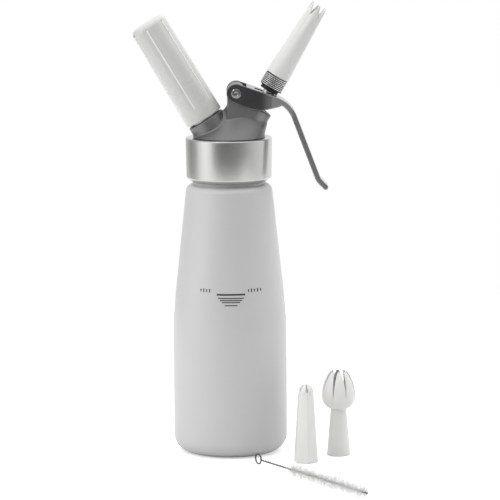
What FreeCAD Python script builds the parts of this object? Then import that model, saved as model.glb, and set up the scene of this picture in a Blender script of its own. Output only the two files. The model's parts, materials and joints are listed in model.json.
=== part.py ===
import FreeCAD, Part
import math
import os

import Sketcher
from FreeCAD import Placement, Rotation, Vector

# Whipped cream dispenser, in millimetres and degrees. The origin is the centre of the bottle's foot
# on the table, +Z is up the bottle and +X points to the lever and the decorator tip. The charger axis
# and the valve axis lean away from the bottle's axis by the same angle and meet at the junction.
SIZES = {
    # bottle
    "bottle_radius": 40.0,
    "foot_corner_radius": 12.0,
    "foot_ring_width": 4.0,
    "foot_dish_depth": 1.8,
    "taper_start_height": 83.0,
    "taper_blend_radius": 225.0,
    "taper_angle": 6.1,
    "shoulder_height": 190.0,
    "shoulder_radius": 5.0,
    "bottle_wall": 1.2,
    "neck_ledge": 0.75,
    "neck_wall": 1.8,
    "neck_length": 23.0,
    "rim_rounding": 0.6,
    # collar and deck of the head
    "thread_clearance": 0.5,
    "collar_gap": 2.2,
    "collar_wall": 4.7,
    "collar_flare": 0.5,
    "deck_thickness": 7.1,
    "collar_chamfer_width": 3.0,
    "collar_chamfer_height": 2.8,
    "collar_edge_radius": 0.9,
    "gasket_thickness": 2.3,
    "gasket_width": 4.7,
    "gasket_gap": 0.2,
    "ceiling_land_width": 5.9,
    "ceiling_recess_depth": 2.3,
    # casting above the deck
    "casting_ledge": 5.1,
    "casting_hip_rise": 7.1,
    "casting_hip_centre": 5.1,
    "casting_hip_length": 42.8,
    "casting_hip_width": 35.0,
    "casting_waist_rise": 14.2,
    "casting_waist_centre": 9.1,
    "casting_waist_length": 34.8,
    "casting_waist_width": 21.0,
    "casting_throat_rise": 23.2,
    "casting_throat_centre": 6.4,
    "casting_throat_radius": 7.1,
    "junction_drop": 14.3,
    "axis_angle": 31.0,
    "boss_root": 18.0,
    # charger side, measured along the charger axis from the junction
    "charger_boss_radius": 13.3,
    "charger_boss_face": 31.8,
    "boss_edge_radius": 0.7,
    "nipple_radius": 9.6,
    "nipple_length": 10.2,
    "nipple_bore_radius": 5.0,
    "gas_passage_radius": 1.5,
    "inlet_chamber_radius": 3.0,
    "inlet_chamber_floor": 16.0,
    "inlet_disc_thickness": 1.6,
    "pin_body_radius": 4.4,
    "pin_body_floor": 22.0,
    "pin_body_length": 14.0,
    "piercing_pin_radius": 1.0,
    "piercing_pin_bore": 0.4,
    "piercing_pin_length": 13.0,
    "piercing_pin_reach": 7.0,
    "charger_seal_thickness": 2.2,
    "press_gap": 0.02,
    "seat_gap": 0.3,
    "charger_neck_radius": 4.45,
    "charger_neck_length": 8.0,
    "charger_radius": 9.05,
    "charger_shoulder_length": 9.0,
    "charger_shoulder_radius": 10.8,
    "charger_length": 65.5,
    "charger_wall": 1.7,
    "holder_radius": 13.65,
    "holder_taper": 0.55,
    "holder_gap": 1.1,
    "holder_crown_radius": 4.2,
    "holder_edge_radius": 0.8,
    "holder_clearance": 0.45,
    "holder_end_clearance": 1.8,
    "holder_crown_wall": 4.6,
    "flute_depth": 1.35,
    "flute_count": 6,
    "flute_rim_height": 6.6,
    "flute_run_out": 5.0,
    "flute_angle": -10.0,
    "insert_clearance": 0.1,
    "insert_wall": 0.9,
    "insert_length": 10.6,
    "insert_recess": 0.7,
    # valve side, measured along the valve axis from the junction
    "valve_boss_swell": 0.2,
    "valve_pocket_radius": 7.0,
    "valve_pocket_start": -2.0,
    "valve_seat": 12.0,
    "valve_seat_gap": 0.1,
    "cream_passage_radius": 4.2,
    "guide_floor": 18.0,
    "guide_radius": 5.0,
    "spring_pocket_depth": 11.5,
    "spring_pocket_radius": 5.9,
    "o_ring_thickness": 1.7,
    "running_clearance": 0.05,
    "stem_radius": 3.5,
    "stem_bore_radius": 2.0,
    "stem_bore_floor": 13.6,
    "stem_top_drop": 2.5,
    "stem_tail_radius": 2.5,
    "stem_tail_length": 6.9,
    "cream_port_radius": 1.2,
    "cream_port_height": 15.6,
    "pusher_radius": 6.4,
    "pusher_thickness": 2.0,
    "pusher_clearance": 5.0,
    "seal_radius": 5.8,
    "seal_thickness": 2.8,
    "retainer_radius": 4.6,
    "retainer_thickness": 2.8,
    "retainer_flats": 6,
    "spring_wire_radius": 0.5,
    "spring_mean_radius": 4.75,
    "spring_turns": 6.0,
    "spring_steps": 14.0,
    "spring_wire_sides": 6.0,
    # lever and its pivot
    "pivot_offset": 5.3,
    "pivot_rise": 46.0,
    "pivot_barrel_radius": 6.3,
    "pivot_pin_radius": 2.0,
    "pivot_head_radius": 3.35,
    "pivot_head_thickness": 1.1,
    "pivot_clip_thickness": 0.9,
    "column_width": 20.4,
    "column_root_rise": 7.2,
    "column_web_drop": 1.0,
    "cheek_clearance": 0.4,
    "cheek_thickness": 2.5,
    "cheek_end_radius": 6.7,
    "cheek_toe_angle": 55.0,
    "cheek_heel_offset": 15.2,
    "cheek_heel_drop": 12.2,
    "cheek_curve_radius": 75.0,
    "cheek_heel_length": 5.0,
    "cheek_heel_rise": 0.3,
    "cheek_heel_radius": 12.0,
    "cheek_end_angle": 38.0,
    "lever_top_angle": 19.5,
    "lever_top_length": 27.3,
    "lever_bend_radius": 24.0,
    "arm_thickness": 3.8,
    "arm_angle": 69.4,
    "arm_length": 45.4,
    "arm_width": 16.0,
    "arm_taper_start": 30.0,
    "arm_taper_end": 45.0,
    "curl_radius": 6.0,
    "curl_angle": 46.0,
    "curl_length": 5.6,
    "fork_clearance": 0.7,
    "cam_drop": 2.6,
    "cam_radius": 2.5,
    "cam_gap": 0.3,
    "stem_slot_width": 8.2,
    "stem_slot_length": 13.4,
    "stem_slot_offset": 1.0,
    # decorator tip and its adapter
    "adapter_lift": 1.6,
    "adapter_collar_radius": 9.1,
    "adapter_neck_radius": 6.5,
    "adapter_neck_height": 1.2,
    "adapter_collar_length": 12.8,
    "adapter_nipple_radius": 6.6,
    "adapter_nipple_length": 10.5,
    "adapter_bore_radius": 4.0,
    "tip_gap": 0.3,
    "tip_length": 54.9,
    "tip_base_radius": 8.1,
    "tip_end_radius": 5.85,
    "tip_wall": 1.0,
    "tip_socket_depth": 11.5,
    "tip_prong_length": 8.0,
    "tip_prong_count": 6,
    "tip_notch_width": 5.4,
    "tip_notch_root": 0.7,
    "tip_crown_angle": 34.0,
    # spare decorator tips, standing on the table
    "straight_tip_across": 52.3,
    "straight_tip_back": -45.3,
    "straight_tip_angle": 10.0,
    "straight_tip_sides": 6,
    "straight_tip_base_radius": 8.9,
    "straight_tip_top_radius": 5.9,
    "straight_tip_side_height": 48.5,
    "straight_tip_dome_height": 6.5,
    "straight_tip_wall": 1.1,
    "straight_tip_socket_radius": 6.65,
    "straight_tip_slot_width": 1.3,
    "straight_tip_slot_depth": 6.0,
    "straight_tip_slot_count": 6,
    "tulip_tip_across": 75.8,
    "tulip_tip_back": -21.7,
    "tulip_tip_angle": 10.0,
    "tulip_base_radius": 8.25,
    "tulip_neck_radius": 5.55,
    "tulip_neck_height": 33.0,
    "tulip_flare_radius": 9.0,
    "tulip_bulb_radius": 11.8,
    "tulip_bulb_height": 41.5,
    "tulip_petal_radius": 26.5,
    "tulip_mouth_radius": 6.0,
    "tulip_height": 59.6,
    "tulip_wall": 1.1,
    "tulip_petal_count": 8,
    "tulip_slot_width": 1.6,
    "tulip_petal_length": 17.6,
    # cleaning brush, lying on the table
    "brush_ring_across": 19.3,
    "brush_ring_back": -52.1,
    "brush_heading_angle": 58.6,
    "brush_ring_radius": 3.4,
    "brush_wire_radius": 0.8,
    "brush_axis_height": 5.7,
    "brush_length": 136.0,
    "bristle_radius": 5.6,
    "bristle_core_radius": 4.2,
    "bristle_start": 41.0,
    "bristle_length": 93.0,
    "bristle_end_length": 5.0,
}

REVOLVED = {False: "PartDesign::Revolution", True: "PartDesign::Groove"}
EXTRUDED = {False: "PartDesign::Pad", True: "PartDesign::Pocket"}
FULL_TURN = 360.0
HALF_STEP = 0.5
NORMAL = Vector(0, 0, 1)
UPRIGHT = Vector(0, 1, 0)

document = FreeCAD.newDocument("whipped_cream_dispenser")
sheet = document.addObject("Spreadsheet::Sheet", "sizes")


class Cell:
    """A number together with the spreadsheet expression that gives it."""

    def __init__(self, value, text):
        self.value = float(value)
        self.text = text

    def joined(self, sign, other, value):
        """The expression of two cells joined by a sign."""
        return Cell(value, "(" + self.text + " " + sign + " " + other.text + ")")

    def __add__(self, other):
        other = as_cell(other)
        return self.joined("+", other, self.value + other.value)

    def __sub__(self, other):
        other = as_cell(other)
        return self.joined("-", other, self.value - other.value)

    def __mul__(self, other):
        other = as_cell(other)
        return self.joined("*", other, self.value * other.value)

    def __truediv__(self, other):
        other = as_cell(other)
        return self.joined("/", other, self.value / other.value)

    def __neg__(self):
        return Cell(-self.value, "(-1 * " + self.text + ")")


def as_cell(value):
    """A cell as it is, or a plain number as a cell."""
    return value if isinstance(value, Cell) else Cell(value, repr(float(value)))


def sine(angle):
    return Cell(math.sin(math.radians(angle.value)), "sin(" + angle.text + ")")


def cosine(angle):
    return Cell(math.cos(math.radians(angle.value)), "cos(" + angle.text + ")")


class Sizes:
    """The sheet's cells by name: size.bottle_radius is the cell of that alias."""

    def __getattr__(self, name):
        return Cell(SIZES[name], "sizes." + name)


size = Sizes()
ZERO = as_cell(0)
HALF_TURN = as_cell(FULL_TURN / 2)
QUARTER_TURN = as_cell(FULL_TURN / 4)


def fill_sheet():
    """Writes every size as a plain number beside its name."""
    for row, (name, value) in enumerate(SIZES.items(), start=1):
        sheet.set("A" + str(row), name)
        sheet.set("B" + str(row), repr(value))
        sheet.setAlias("B" + str(row), name)
    document.recompute()


# ---------------------------------------------------------------- sketches and features

def bind(item, path, cell):
    """Ties one property of an object to a cell."""
    item.setExpression(path, cell.text)


def new_body(label):
    body = document.addObject("PartDesign::Body", label)
    body.Label = label
    return body


def new_sketch(body, name, role, lift=ZERO, shift=ZERO, lean=ZERO, swing=ZERO):
    """A sketch on one of the body's origin planes: lift is normal to the plane and shift up in it.
    Lean turns it in the plane, and swing carries it round the plane's upright axis with its lift."""
    plane = [feature for feature in body.Origin.OriginFeatures if feature.Role == role][0]
    sketch = body.newObject("Sketcher::SketchObject", name)
    sketch.AttachmentSupport = [(plane, "")]
    sketch.MapMode = "FlatFace"
    axis, angle = (NORMAL, lean) if swing is ZERO else (UPRIGHT, swing)
    offset = {"x": lift * sine(swing), "y": shift, "z": lift * cosine(swing)}
    base = Vector(*[cell.value for cell in offset.values()])
    sketch.AttachmentOffset = Placement(base, Rotation(axis, angle.value))
    for path, cell in offset.items():
        bind(sketch, "AttachmentOffset.Base." + path, cell)
    if angle is not ZERO:
        bind(sketch, "AttachmentOffset.Rotation.Angle", angle)
    return sketch


def constrain(sketch, kind, *parts):
    """Adds a constraint; a last part that is a cell is its size and stays tied to it."""
    if isinstance(parts[-1], Cell):
        index = sketch.addConstraint(Sketcher.Constraint(kind, *parts[:-1], parts[-1].value))
        bind(sketch, "Constraints[" + str(index) + "]", parts[-1])
    else:
        sketch.addConstraint(Sketcher.Constraint(kind, *parts))


def fix_point(sketch, edge, end, across, up):
    """Ties one end of a sketch edge to its two cells."""
    for kind, place, axis in (("DistanceX", across, -2), ("DistanceY", up, -1)):
        if place is ZERO:
            constrain(sketch, "PointOnObject", edge, end, axis)
        else:
            constrain(sketch, kind, -1, 1, edge, end, place)


def run_between(start, corner):
    """The line or arc from one corner to the next; a corner's radius and side shape its run."""
    first = Vector(start[0].value, start[1].value, 0)
    last = Vector(corner[0].value, corner[1].value, 0)
    if len(corner) == 2:
        return Part.LineSegment(first, last)
    radius = corner[2].value
    side = corner[3]
    chord = last - first
    left = Vector(-chord.y, chord.x, 0).normalize()
    reach = math.sqrt(max(radius * radius - chord.Length * chord.Length / 4, 0))
    centre = (first + last) / 2 + left * side * reach
    begin, end = (first, last) if side > 0 else (last, first)
    angles = [math.atan2(point.y - centre.y, point.x - centre.x) for point in (begin, end)]
    return Part.ArcOfCircle(Part.Circle(centre, Vector(0, 0, 1), radius), *angles)


def draw_outline(sketch, corners):
    """A closed outline. A corner is (across, up), or (across, up, radius, side) where an arc leads
    to it: side +1 has the arc's centre on the left of the way round, and -1 on the right."""
    first_edge = sketch.GeometryCount
    ends = []
    for index, corner in enumerate(corners):
        start = corners[index - 1]
        edge = sketch.addGeometry(run_between(start, corner))
        placed = sketch.Geometry[edge]
        begins = (placed.StartPoint - Vector(start[0].value, start[1].value, 0)).Length
        finishes = (placed.EndPoint - Vector(start[0].value, start[1].value, 0)).Length
        ends.append((1, 2) if begins < finishes else (2, 1))
        if len(corner) == 4:
            constrain(sketch, "Radius", edge, corner[2])
    for index, corner in enumerate(corners):
        edge = first_edge + index
        following = (index + 1) % len(corners)
        constrain(sketch, "Coincident", edge, ends[index][1], first_edge + following, ends[following][0])
        fix_point(sketch, edge, ends[index][1], corner[0], corner[1])


def draw_circle(sketch, across, up, radius):
    """A circle whose centre and radius are tied to cells."""
    centre = Vector(across.value, up.value, 0)
    edge = sketch.addGeometry(Part.Circle(centre, Vector(0, 0, 1), radius.value))
    fix_point(sketch, edge, 3, across, up)
    constrain(sketch, "Radius", edge, radius)


def draw_ellipse(sketch, across, length, width):
    """An ellipse centred on the sketch's own horizontal axis, longer along it."""
    centre = Vector(across.value, 0, 0)
    major = Vector(across.value + length.value / 2, 0, 0)
    minor = Vector(across.value, width.value / 2, 0)
    edge = sketch.addGeometry(Part.Ellipse(major, minor, centre))
    sketch.exposeInternalGeometry(edge)
    fix_point(sketch, edge, 3, across, ZERO)
    constrain(sketch, "Horizontal", edge + 1)
    constrain(sketch, "Distance", edge + 1, length)
    constrain(sketch, "Distance", edge + 2, width)


def settled(body, feature, cut, before):
    """Recomputes the body and makes sure that the feature added or removed material."""
    document.recompute()
    change = body.Shape.Volume - before
    if feature.State and "Up-to-date" not in feature.State:
        raise RuntimeError(feature.Label + " " + str(feature.State))
    if (change >= 0) if cut else (change <= 0):
        raise RuntimeError(feature.Label + " changed the volume by " + str(change))
    return feature


def volume(body):
    return body.Shape.Volume if body.Tip else 0.0


def turned(body, name, corners, cut=False, lean=ZERO, shift=ZERO):
    """Revolves an outline of (radius, height) corners about the sketch's upright axis."""
    sketch = new_sketch(body, name + "_outline", "XZ_Plane", shift=shift, lean=lean)
    draw_outline(sketch, corners)
    before = volume(body)
    feature = body.newObject(REVOLVED[cut], name)
    feature.Profile = sketch
    feature.ReferenceAxis = (sketch, ["V_Axis"])
    feature.Angle = FULL_TURN
    return settled(body, feature, cut, before)


def extruded(body, name, shapes, width, cut=False, role="XZ_Plane", lift=ZERO, swing=ZERO):
    """Extrudes outlines and circles by a width that is centred on the sketch. Swing turns the sketch
    about the body's upright axis."""
    sketch = new_sketch(body, name + "_outline", role, lift=lift, swing=swing)
    for shape in shapes:
        if isinstance(shape, list):
            draw_outline(sketch, shape)
        else:
            draw_circle(sketch, *shape)
    before = volume(body)
    feature = body.newObject(EXTRUDED[cut], name)
    feature.Profile = sketch
    feature.SideType = "Symmetric"
    bind(feature, "Length", width)
    return settled(body, feature, cut, before)


def lofted(body, name, sketches):
    """Runs a smooth solid through closed sketches, in their order."""
    before = volume(body)
    feature = body.newObject("PartDesign::AdditiveLoft", name)
    feature.Profile = sketches[0]
    feature.Sections = sketches[1:]
    settled(body, feature, False, before)


def one_side(width):
    """How an extrusion of this width is lifted to stay on one side of its plane."""
    return {"width": width, "lift": width / 2}


def repeated(body, name, feature, count):
    """Repeats a feature evenly round the body's upright axis."""
    before = volume(body)
    pattern = body.newObject("PartDesign::PolarPattern", name)
    pattern.Originals = [feature]
    axis = [part for part in body.Origin.OriginFeatures if part.Role == "Z_Axis"][0]
    pattern.Axis = (axis, [""])
    pattern.Angle = FULL_TURN
    bind(pattern, "Occurrences", count)
    body.Tip = pattern
    document.recompute()
    if body.Shape.Volume >= before:
        raise RuntimeError(name + " removed nothing")
    return pattern


def place(item, across, back, height, axis, angle):
    """Puts a sub-part in the dispenser's frame and keeps it tied to the cells."""
    item.Placement = Placement(Vector(across.value, back.value, height.value), Rotation(axis, angle.value))
    for path, cell in (("x", across), ("y", back), ("z", height)):
        bind(item, "Placement.Base." + path, cell)
    bind(item, "Placement.Rotation.Angle", angle)


def place_on_axis(item, side):
    """Puts a sub-part that is built upright on the charger axis (-1) or the valve axis (+1)."""
    place(item, ZERO, ZERO, junction_height, Vector(0, 1, 0), size.axis_angle * side)


def ring(label, inner, outer, low, high):
    """A plain ring or bush, upright."""
    body = new_body(label)
    turned(body, label + "_ring", [(inner, low), (outer, low), (outer, high), (inner, high)])
    return body


# ---------------------------------------------------------------- shared places

CHARGER, VALVE = -1, 1
shoulder_up = size.shoulder_height - size.shoulder_radius
blend_across = size.bottle_radius - size.taper_blend_radius
shoulder_reach = (size.taper_blend_radius - size.shoulder_radius) + blend_across * cosine(size.taper_angle)
taper_loss = (shoulder_up - size.taper_start_height) * sine(size.taper_angle)
shoulder_across = (shoulder_reach - taper_loss) / cosine(size.taper_angle)
neck_radius = shoulder_across - size.neck_ledge
rim_height = size.shoulder_height + size.neck_length
ceiling_height = rim_height + size.gasket_thickness + size.gasket_gap * 2
deck_height = ceiling_height + size.deck_thickness
junction_height = deck_height - size.junction_drop
pivot_height = junction_height + size.pivot_rise
collar_bore = neck_radius + size.thread_clearance
collar_base_radius = collar_bore + size.collar_wall
collar_top_radius = collar_base_radius + size.collar_flare
nipple_end = size.charger_boss_face + size.nipple_length
pin_body_end = size.pin_body_floor + size.pin_body_length
charger_tip = pin_body_end + size.charger_seal_thickness + size.seat_gap
charger_end = charger_tip + size.charger_length
holder_base = size.charger_boss_face + size.holder_gap
cheek_inside = size.column_width / 2 + size.cheek_clearance
cheek_outside = cheek_inside + size.cheek_thickness
plate_reach = size.cheek_end_radius + size.pivot_offset * sine(size.lever_top_angle)
plate_rise = size.pivot_rise * cosine(size.lever_top_angle)
plate_height = (plate_reach + plate_rise) / cosine(size.axis_angle - size.lever_top_angle)
adapter_base = plate_height + size.adapter_lift
adapter_collar_base = adapter_base + size.adapter_neck_height
adapter_collar_top = adapter_collar_base + size.adapter_collar_length
stem_top = adapter_collar_top - size.stem_top_drop
cam_height = plate_height - size.cam_drop
pusher_top = cam_height - size.cam_radius - size.cam_gap
pusher_floor = pusher_top - size.pusher_thickness
valve_boss_radius = size.column_width / 2 + size.valve_boss_swell
valve_boss_face = pusher_floor - size.pusher_clearance
spring_pocket_floor = valve_boss_face - size.spring_pocket_depth


# ---------------------------------------------------------------- bottle

def wall_offset_corners(inset, top):
    """The bottle's side from its foot corner to the neck, moved inwards by inset."""
    lean = size.taper_angle
    blend = size.taper_blend_radius
    outward_across = cosine(lean)
    outward_up = sine(lean)
    corner = size.foot_corner_radius - inset
    base = size.foot_corner_radius
    blend_end_across = blend_across + (blend - inset) * outward_across
    blend_end_up = size.taper_start_height + (blend - inset) * outward_up
    shoulder = size.shoulder_radius - inset
    return [
        (size.bottle_radius - base, inset),
        (size.bottle_radius - inset, base, corner, +1),
        (size.bottle_radius - inset, size.taper_start_height),
        (blend_end_across, blend_end_up, blend - inset, +1),
        (shoulder_across + shoulder * outward_across, shoulder_up + shoulder * outward_up),
        (shoulder_across, top, shoulder, +1),
    ]


def make_bottle():
    """Deep-drawn bottle with a dished foot, a long taper, a round shoulder and a straight neck."""
    body = new_body("bottle")
    dish = size.bottle_radius - size.foot_corner_radius - size.foot_ring_width
    depth = size.foot_dish_depth
    dish_radius = (dish * dish + depth * depth) / (depth * 2)
    rim = size.rim_rounding
    outside = wall_offset_corners(ZERO, size.shoulder_height)
    turned(body, "outside", [
        (ZERO, depth),
        (dish, ZERO, dish_radius, -1),
        *outside,
        (neck_radius, size.shoulder_height),
        (neck_radius, rim_height - rim),
        (neck_radius - rim, rim_height, rim, +1),
        (ZERO, rim_height),
    ])
    wall = size.bottle_wall
    inside = wall_offset_corners(wall, size.shoulder_height - wall)
    neck_bore = neck_radius - size.neck_wall
    turned(body, "inside", [
        (ZERO, depth + wall),
        (dish, wall, (dish * dish + depth * depth) / (depth * 2), -1),
        *inside,
        (neck_bore, size.shoulder_height - wall),
        (neck_bore, rim_height),
        (ZERO, rim_height),
    ], cut=True)


# ---------------------------------------------------------------- head

def make_head_casting():
    """One casting: threaded collar, deck, leaning charger and valve bosses, and the lever's column."""
    body = new_body("head_casting")
    edge = size.collar_edge_radius
    collar_base = size.shoulder_height + size.collar_gap
    chamfer_top = collar_base + size.collar_chamfer_height
    recess = collar_bore - size.ceiling_land_width
    turned(body, "collar_and_deck", [
        (ZERO, ceiling_height + size.ceiling_recess_depth),
        (recess, ceiling_height + size.ceiling_recess_depth),
        (recess, ceiling_height),
        (collar_bore, ceiling_height),
        (collar_bore, collar_base),
        (collar_base_radius - size.collar_chamfer_width, collar_base),
        (collar_base_radius, chamfer_top),
        (collar_top_radius, deck_height - edge),
        (collar_top_radius - edge, deck_height, edge, +1),
        (ZERO, deck_height),
    ])
    casting_shoulders(body)
    boss_edge = size.boss_edge_radius
    turned(body, "charger_boss", [
        (ZERO, size.boss_root),
        (size.charger_boss_radius, size.boss_root),
        (size.charger_boss_radius, size.charger_boss_face - boss_edge),
        (size.charger_boss_radius - boss_edge, size.charger_boss_face, boss_edge, +1),
        (size.nipple_radius, size.charger_boss_face),
        (size.nipple_radius, nipple_end),
        (ZERO, nipple_end),
    ], lean=size.axis_angle, shift=junction_height)
    turned(body, "valve_boss", [
        (ZERO, size.boss_root),
        (valve_boss_radius, size.boss_root),
        (valve_boss_radius, valve_boss_face - boss_edge),
        (valve_boss_radius - boss_edge, valve_boss_face, boss_edge, +1),
        (ZERO, valve_boss_face),
    ], lean=-size.axis_angle, shift=junction_height)
    lever_column(body)
    charger_bores(body)
    valve_bores(body)
    pin_hole = size.pivot_pin_radius + size.press_gap
    pin_place = (size.pivot_offset, pivot_height, pin_hole)
    extruded(body, "pivot_hole", [pin_place], size.column_width * 2, cut=True)


def casting_shoulders(body):
    """The casting's flanks narrow from the round deck through an oval hip and waist to a round throat
    in the lever's column."""
    base = new_sketch(body, "casting_base", "XY_Plane", lift=deck_height)
    draw_circle(base, ZERO, ZERO, collar_top_radius - size.casting_ledge)
    hip = new_sketch(body, "casting_hip", "XY_Plane", lift=deck_height + size.casting_hip_rise)
    draw_ellipse(hip, size.casting_hip_centre, size.casting_hip_length, size.casting_hip_width)
    waist = new_sketch(body, "casting_waist", "XY_Plane", lift=deck_height + size.casting_waist_rise)
    draw_ellipse(waist, size.casting_waist_centre, size.casting_waist_length, size.casting_waist_width)
    throat = new_sketch(body, "casting_throat", "XY_Plane", lift=deck_height + size.casting_throat_rise)
    draw_circle(throat, size.casting_throat_centre, ZERO, size.casting_throat_radius)
    lofted(body, "flanks", [base, hip, waist, throat])


def lever_column(body):
    """The column that carries the pivot pin, rounded about it, and its web to the valve boss."""
    radius = size.pivot_barrel_radius
    across = size.pivot_offset
    root = deck_height + size.column_root_rise
    lean = size.axis_angle
    face = valve_boss_face - size.column_web_drop
    web_across = face * sine(lean)
    web_up = junction_height + face * cosine(lean)
    step = web_across - (across + radius)
    extruded(body, "pivot_column", [[
        (across - radius, root),
        ((root - junction_height) * sine(lean) / cosine(lean), root),
        (web_across, web_up),
        (across + radius, web_up + step * sine(lean) / cosine(lean)),
        (across + radius, pivot_height),
        (across, pivot_height + radius, radius, +1),
        (across - radius, pivot_height, radius, +1),
    ]], size.column_width)


def charger_bores(body):
    """Gas passage, inlet valve chamber, seat of the piercing pin and mouth for the charger's neck."""
    turned(body, "charger_bores", [
        (ZERO, ZERO),
        (size.gas_passage_radius, ZERO),
        (size.gas_passage_radius, size.inlet_chamber_floor),
        (size.inlet_chamber_radius, size.inlet_chamber_floor),
        (size.inlet_chamber_radius, size.pin_body_floor),
        (size.pin_body_radius + size.press_gap, size.pin_body_floor),
        (size.pin_body_radius + size.press_gap, pin_body_end),
        (size.nipple_bore_radius, pin_body_end),
        (size.nipple_bore_radius, nipple_end),
        (ZERO, nipple_end),
    ], cut=True, lean=size.axis_angle, shift=junction_height)


def valve_bores(body):
    """Seal pocket, valve seat, cream passage, guide bore and spring pocket."""
    turned(body, "valve_bores", [
        (ZERO, size.valve_pocket_start),
        (size.valve_pocket_radius, size.valve_pocket_start),
        (size.valve_pocket_radius, size.valve_seat),
        (size.cream_passage_radius, size.valve_seat),
        (size.cream_passage_radius, size.guide_floor),
        (size.guide_radius, size.guide_floor),
        (size.guide_radius, spring_pocket_floor),
        (size.spring_pocket_radius, spring_pocket_floor),
        (size.spring_pocket_radius, valve_boss_face),
        (ZERO, valve_boss_face),
    ], cut=True, lean=-size.axis_angle, shift=junction_height)


def make_head_gasket():
    """Flat ring between the bottle's rim and the land under the deck."""
    low = rim_height + size.gasket_gap
    outer = neck_radius - size.gasket_gap
    ring("head_gasket", outer - size.gasket_width, outer, low, low + size.gasket_thickness)


# ---------------------------------------------------------------- charger side

def make_charger_parts():
    """What sits inside the charger boss: inlet valve disc, pin body, piercing pin and seal."""
    gap = size.press_gap
    disc = ring("inlet_valve_disc", size.piercing_pin_bore, size.inlet_chamber_radius - gap,
                size.pin_body_floor - size.inlet_disc_thickness - gap, size.pin_body_floor - gap)
    pin_body = ring("piercing_pin_body", size.piercing_pin_radius + gap, size.pin_body_radius,
                    size.pin_body_floor, pin_body_end)
    seal = ring("charger_seal", size.piercing_pin_radius + gap, size.nipple_bore_radius - gap,
                pin_body_end, pin_body_end + size.charger_seal_thickness)
    pin = new_body("piercing_pin")
    point = pin_body_end + size.piercing_pin_reach
    turned(pin, "needle", [
        (size.piercing_pin_bore, point - size.piercing_pin_length),
        (size.piercing_pin_radius, point - size.piercing_pin_length),
        (size.piercing_pin_radius, point - size.piercing_pin_radius * 2),
        (size.piercing_pin_bore, point),
    ])
    for item in (disc, pin_body, seal, pin):
        place_on_axis(item, CHARGER)


def make_gas_charger():
    """Steel gas bulb, neck down, pierced by the pin and hollow inside."""
    body = new_body("gas_charger")
    wall = size.charger_wall
    radius = size.charger_radius
    neck_top = charger_tip + size.charger_neck_length
    body_start = neck_top + size.charger_shoulder_length
    neck_bore = size.charger_neck_radius - wall
    pierced = size.piercing_pin_radius + size.seat_gap
    turned(body, "bulb", [
        (pierced, charger_tip),
        (size.charger_neck_radius, charger_tip),
        (size.charger_neck_radius, neck_top),
        (radius, body_start, size.charger_shoulder_radius, +1),
        (radius, charger_end - radius),
        (ZERO, charger_end, radius, +1),
        (ZERO, charger_end - wall),
        (radius - wall, charger_end - radius, radius - wall, -1),
        (radius - wall, body_start),
        (neck_bore, neck_top, size.charger_shoulder_radius, -1),
        (neck_bore, charger_tip + wall),
        (pierced, charger_tip + wall),
    ])
    place_on_axis(body, CHARGER)


def make_charger_holder():
    """Moulded cap over the charger, slightly tapered, with flat flutes that stop above its plain rim."""
    body = new_body("charger_holder")
    radius = size.holder_radius
    crown = size.holder_crown_radius
    rim = size.holder_edge_radius
    top_radius = radius - size.holder_taper
    cavity_top = charger_end + size.holder_end_clearance
    top = cavity_top + size.holder_crown_wall
    insert_outer = size.nipple_radius + size.insert_clearance + size.insert_wall
    insert_top = holder_base + size.insert_recess + size.insert_length
    cavity = size.charger_radius + size.holder_clearance
    turned(body, "shell", [
        (insert_outer, holder_base),
        (radius - rim, holder_base),
        (radius, holder_base + rim, rim, +1),
        (top_radius, top - crown),
        (top_radius - crown, top, crown, +1),
        (ZERO, top),
        (ZERO, cavity_top),
        (cavity - crown, cavity_top),
        (cavity, cavity_top - crown, crown, -1),
        (cavity, insert_top),
        (insert_outer, insert_top),
    ])
    flute_start = holder_base + size.flute_rim_height
    beyond = radius + size.holder_gap
    flat = radius - size.flute_depth
    depth = beyond - flat
    run_out = size.flute_run_out
    flute = extruded(body, "flute", [[
        (flat, flute_start + run_out, (depth * depth + run_out * run_out) / (depth * 2), -1),
        (flat - size.holder_taper, top + size.holder_gap),
        (beyond, top + size.holder_gap),
        (beyond, flute_start),
    ]], radius * 2, cut=True, swing=size.flute_angle)
    repeated(body, "flutes", flute, size.flute_count)
    place_on_axis(body, CHARGER)
    insert = ring("holder_insert", size.nipple_radius + size.insert_clearance, insert_outer,
                  holder_base + size.insert_recess, insert_top)
    place_on_axis(insert, CHARGER)


# ---------------------------------------------------------------- valve side

def make_valve_stem():
    """Hollow stem with a pusher flange, two cream ports above the seal and a threaded tail."""
    body = new_body("valve_stem")
    shoulder = size.valve_seat - size.valve_seat_gap
    tail = shoulder - size.stem_tail_length
    turned(body, "stem", [
        (ZERO, tail),
        (size.stem_tail_radius, tail),
        (size.stem_tail_radius, shoulder),
        (size.stem_radius, shoulder),
        (size.stem_radius, pusher_floor),
        (size.pusher_radius, pusher_floor),
        (size.pusher_radius, pusher_top),
        (size.stem_radius, pusher_top),
        (size.stem_radius, stem_top),
        (size.stem_bore_radius, stem_top),
        (size.stem_bore_radius, size.stem_bore_floor),
        (ZERO, size.stem_bore_floor),
    ])
    port = (ZERO, size.cream_port_height, size.cream_port_radius)
    extruded(body, "cream_ports", [port], size.stem_radius * 3, cut=True)
    place_on_axis(body, VALVE)


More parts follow.
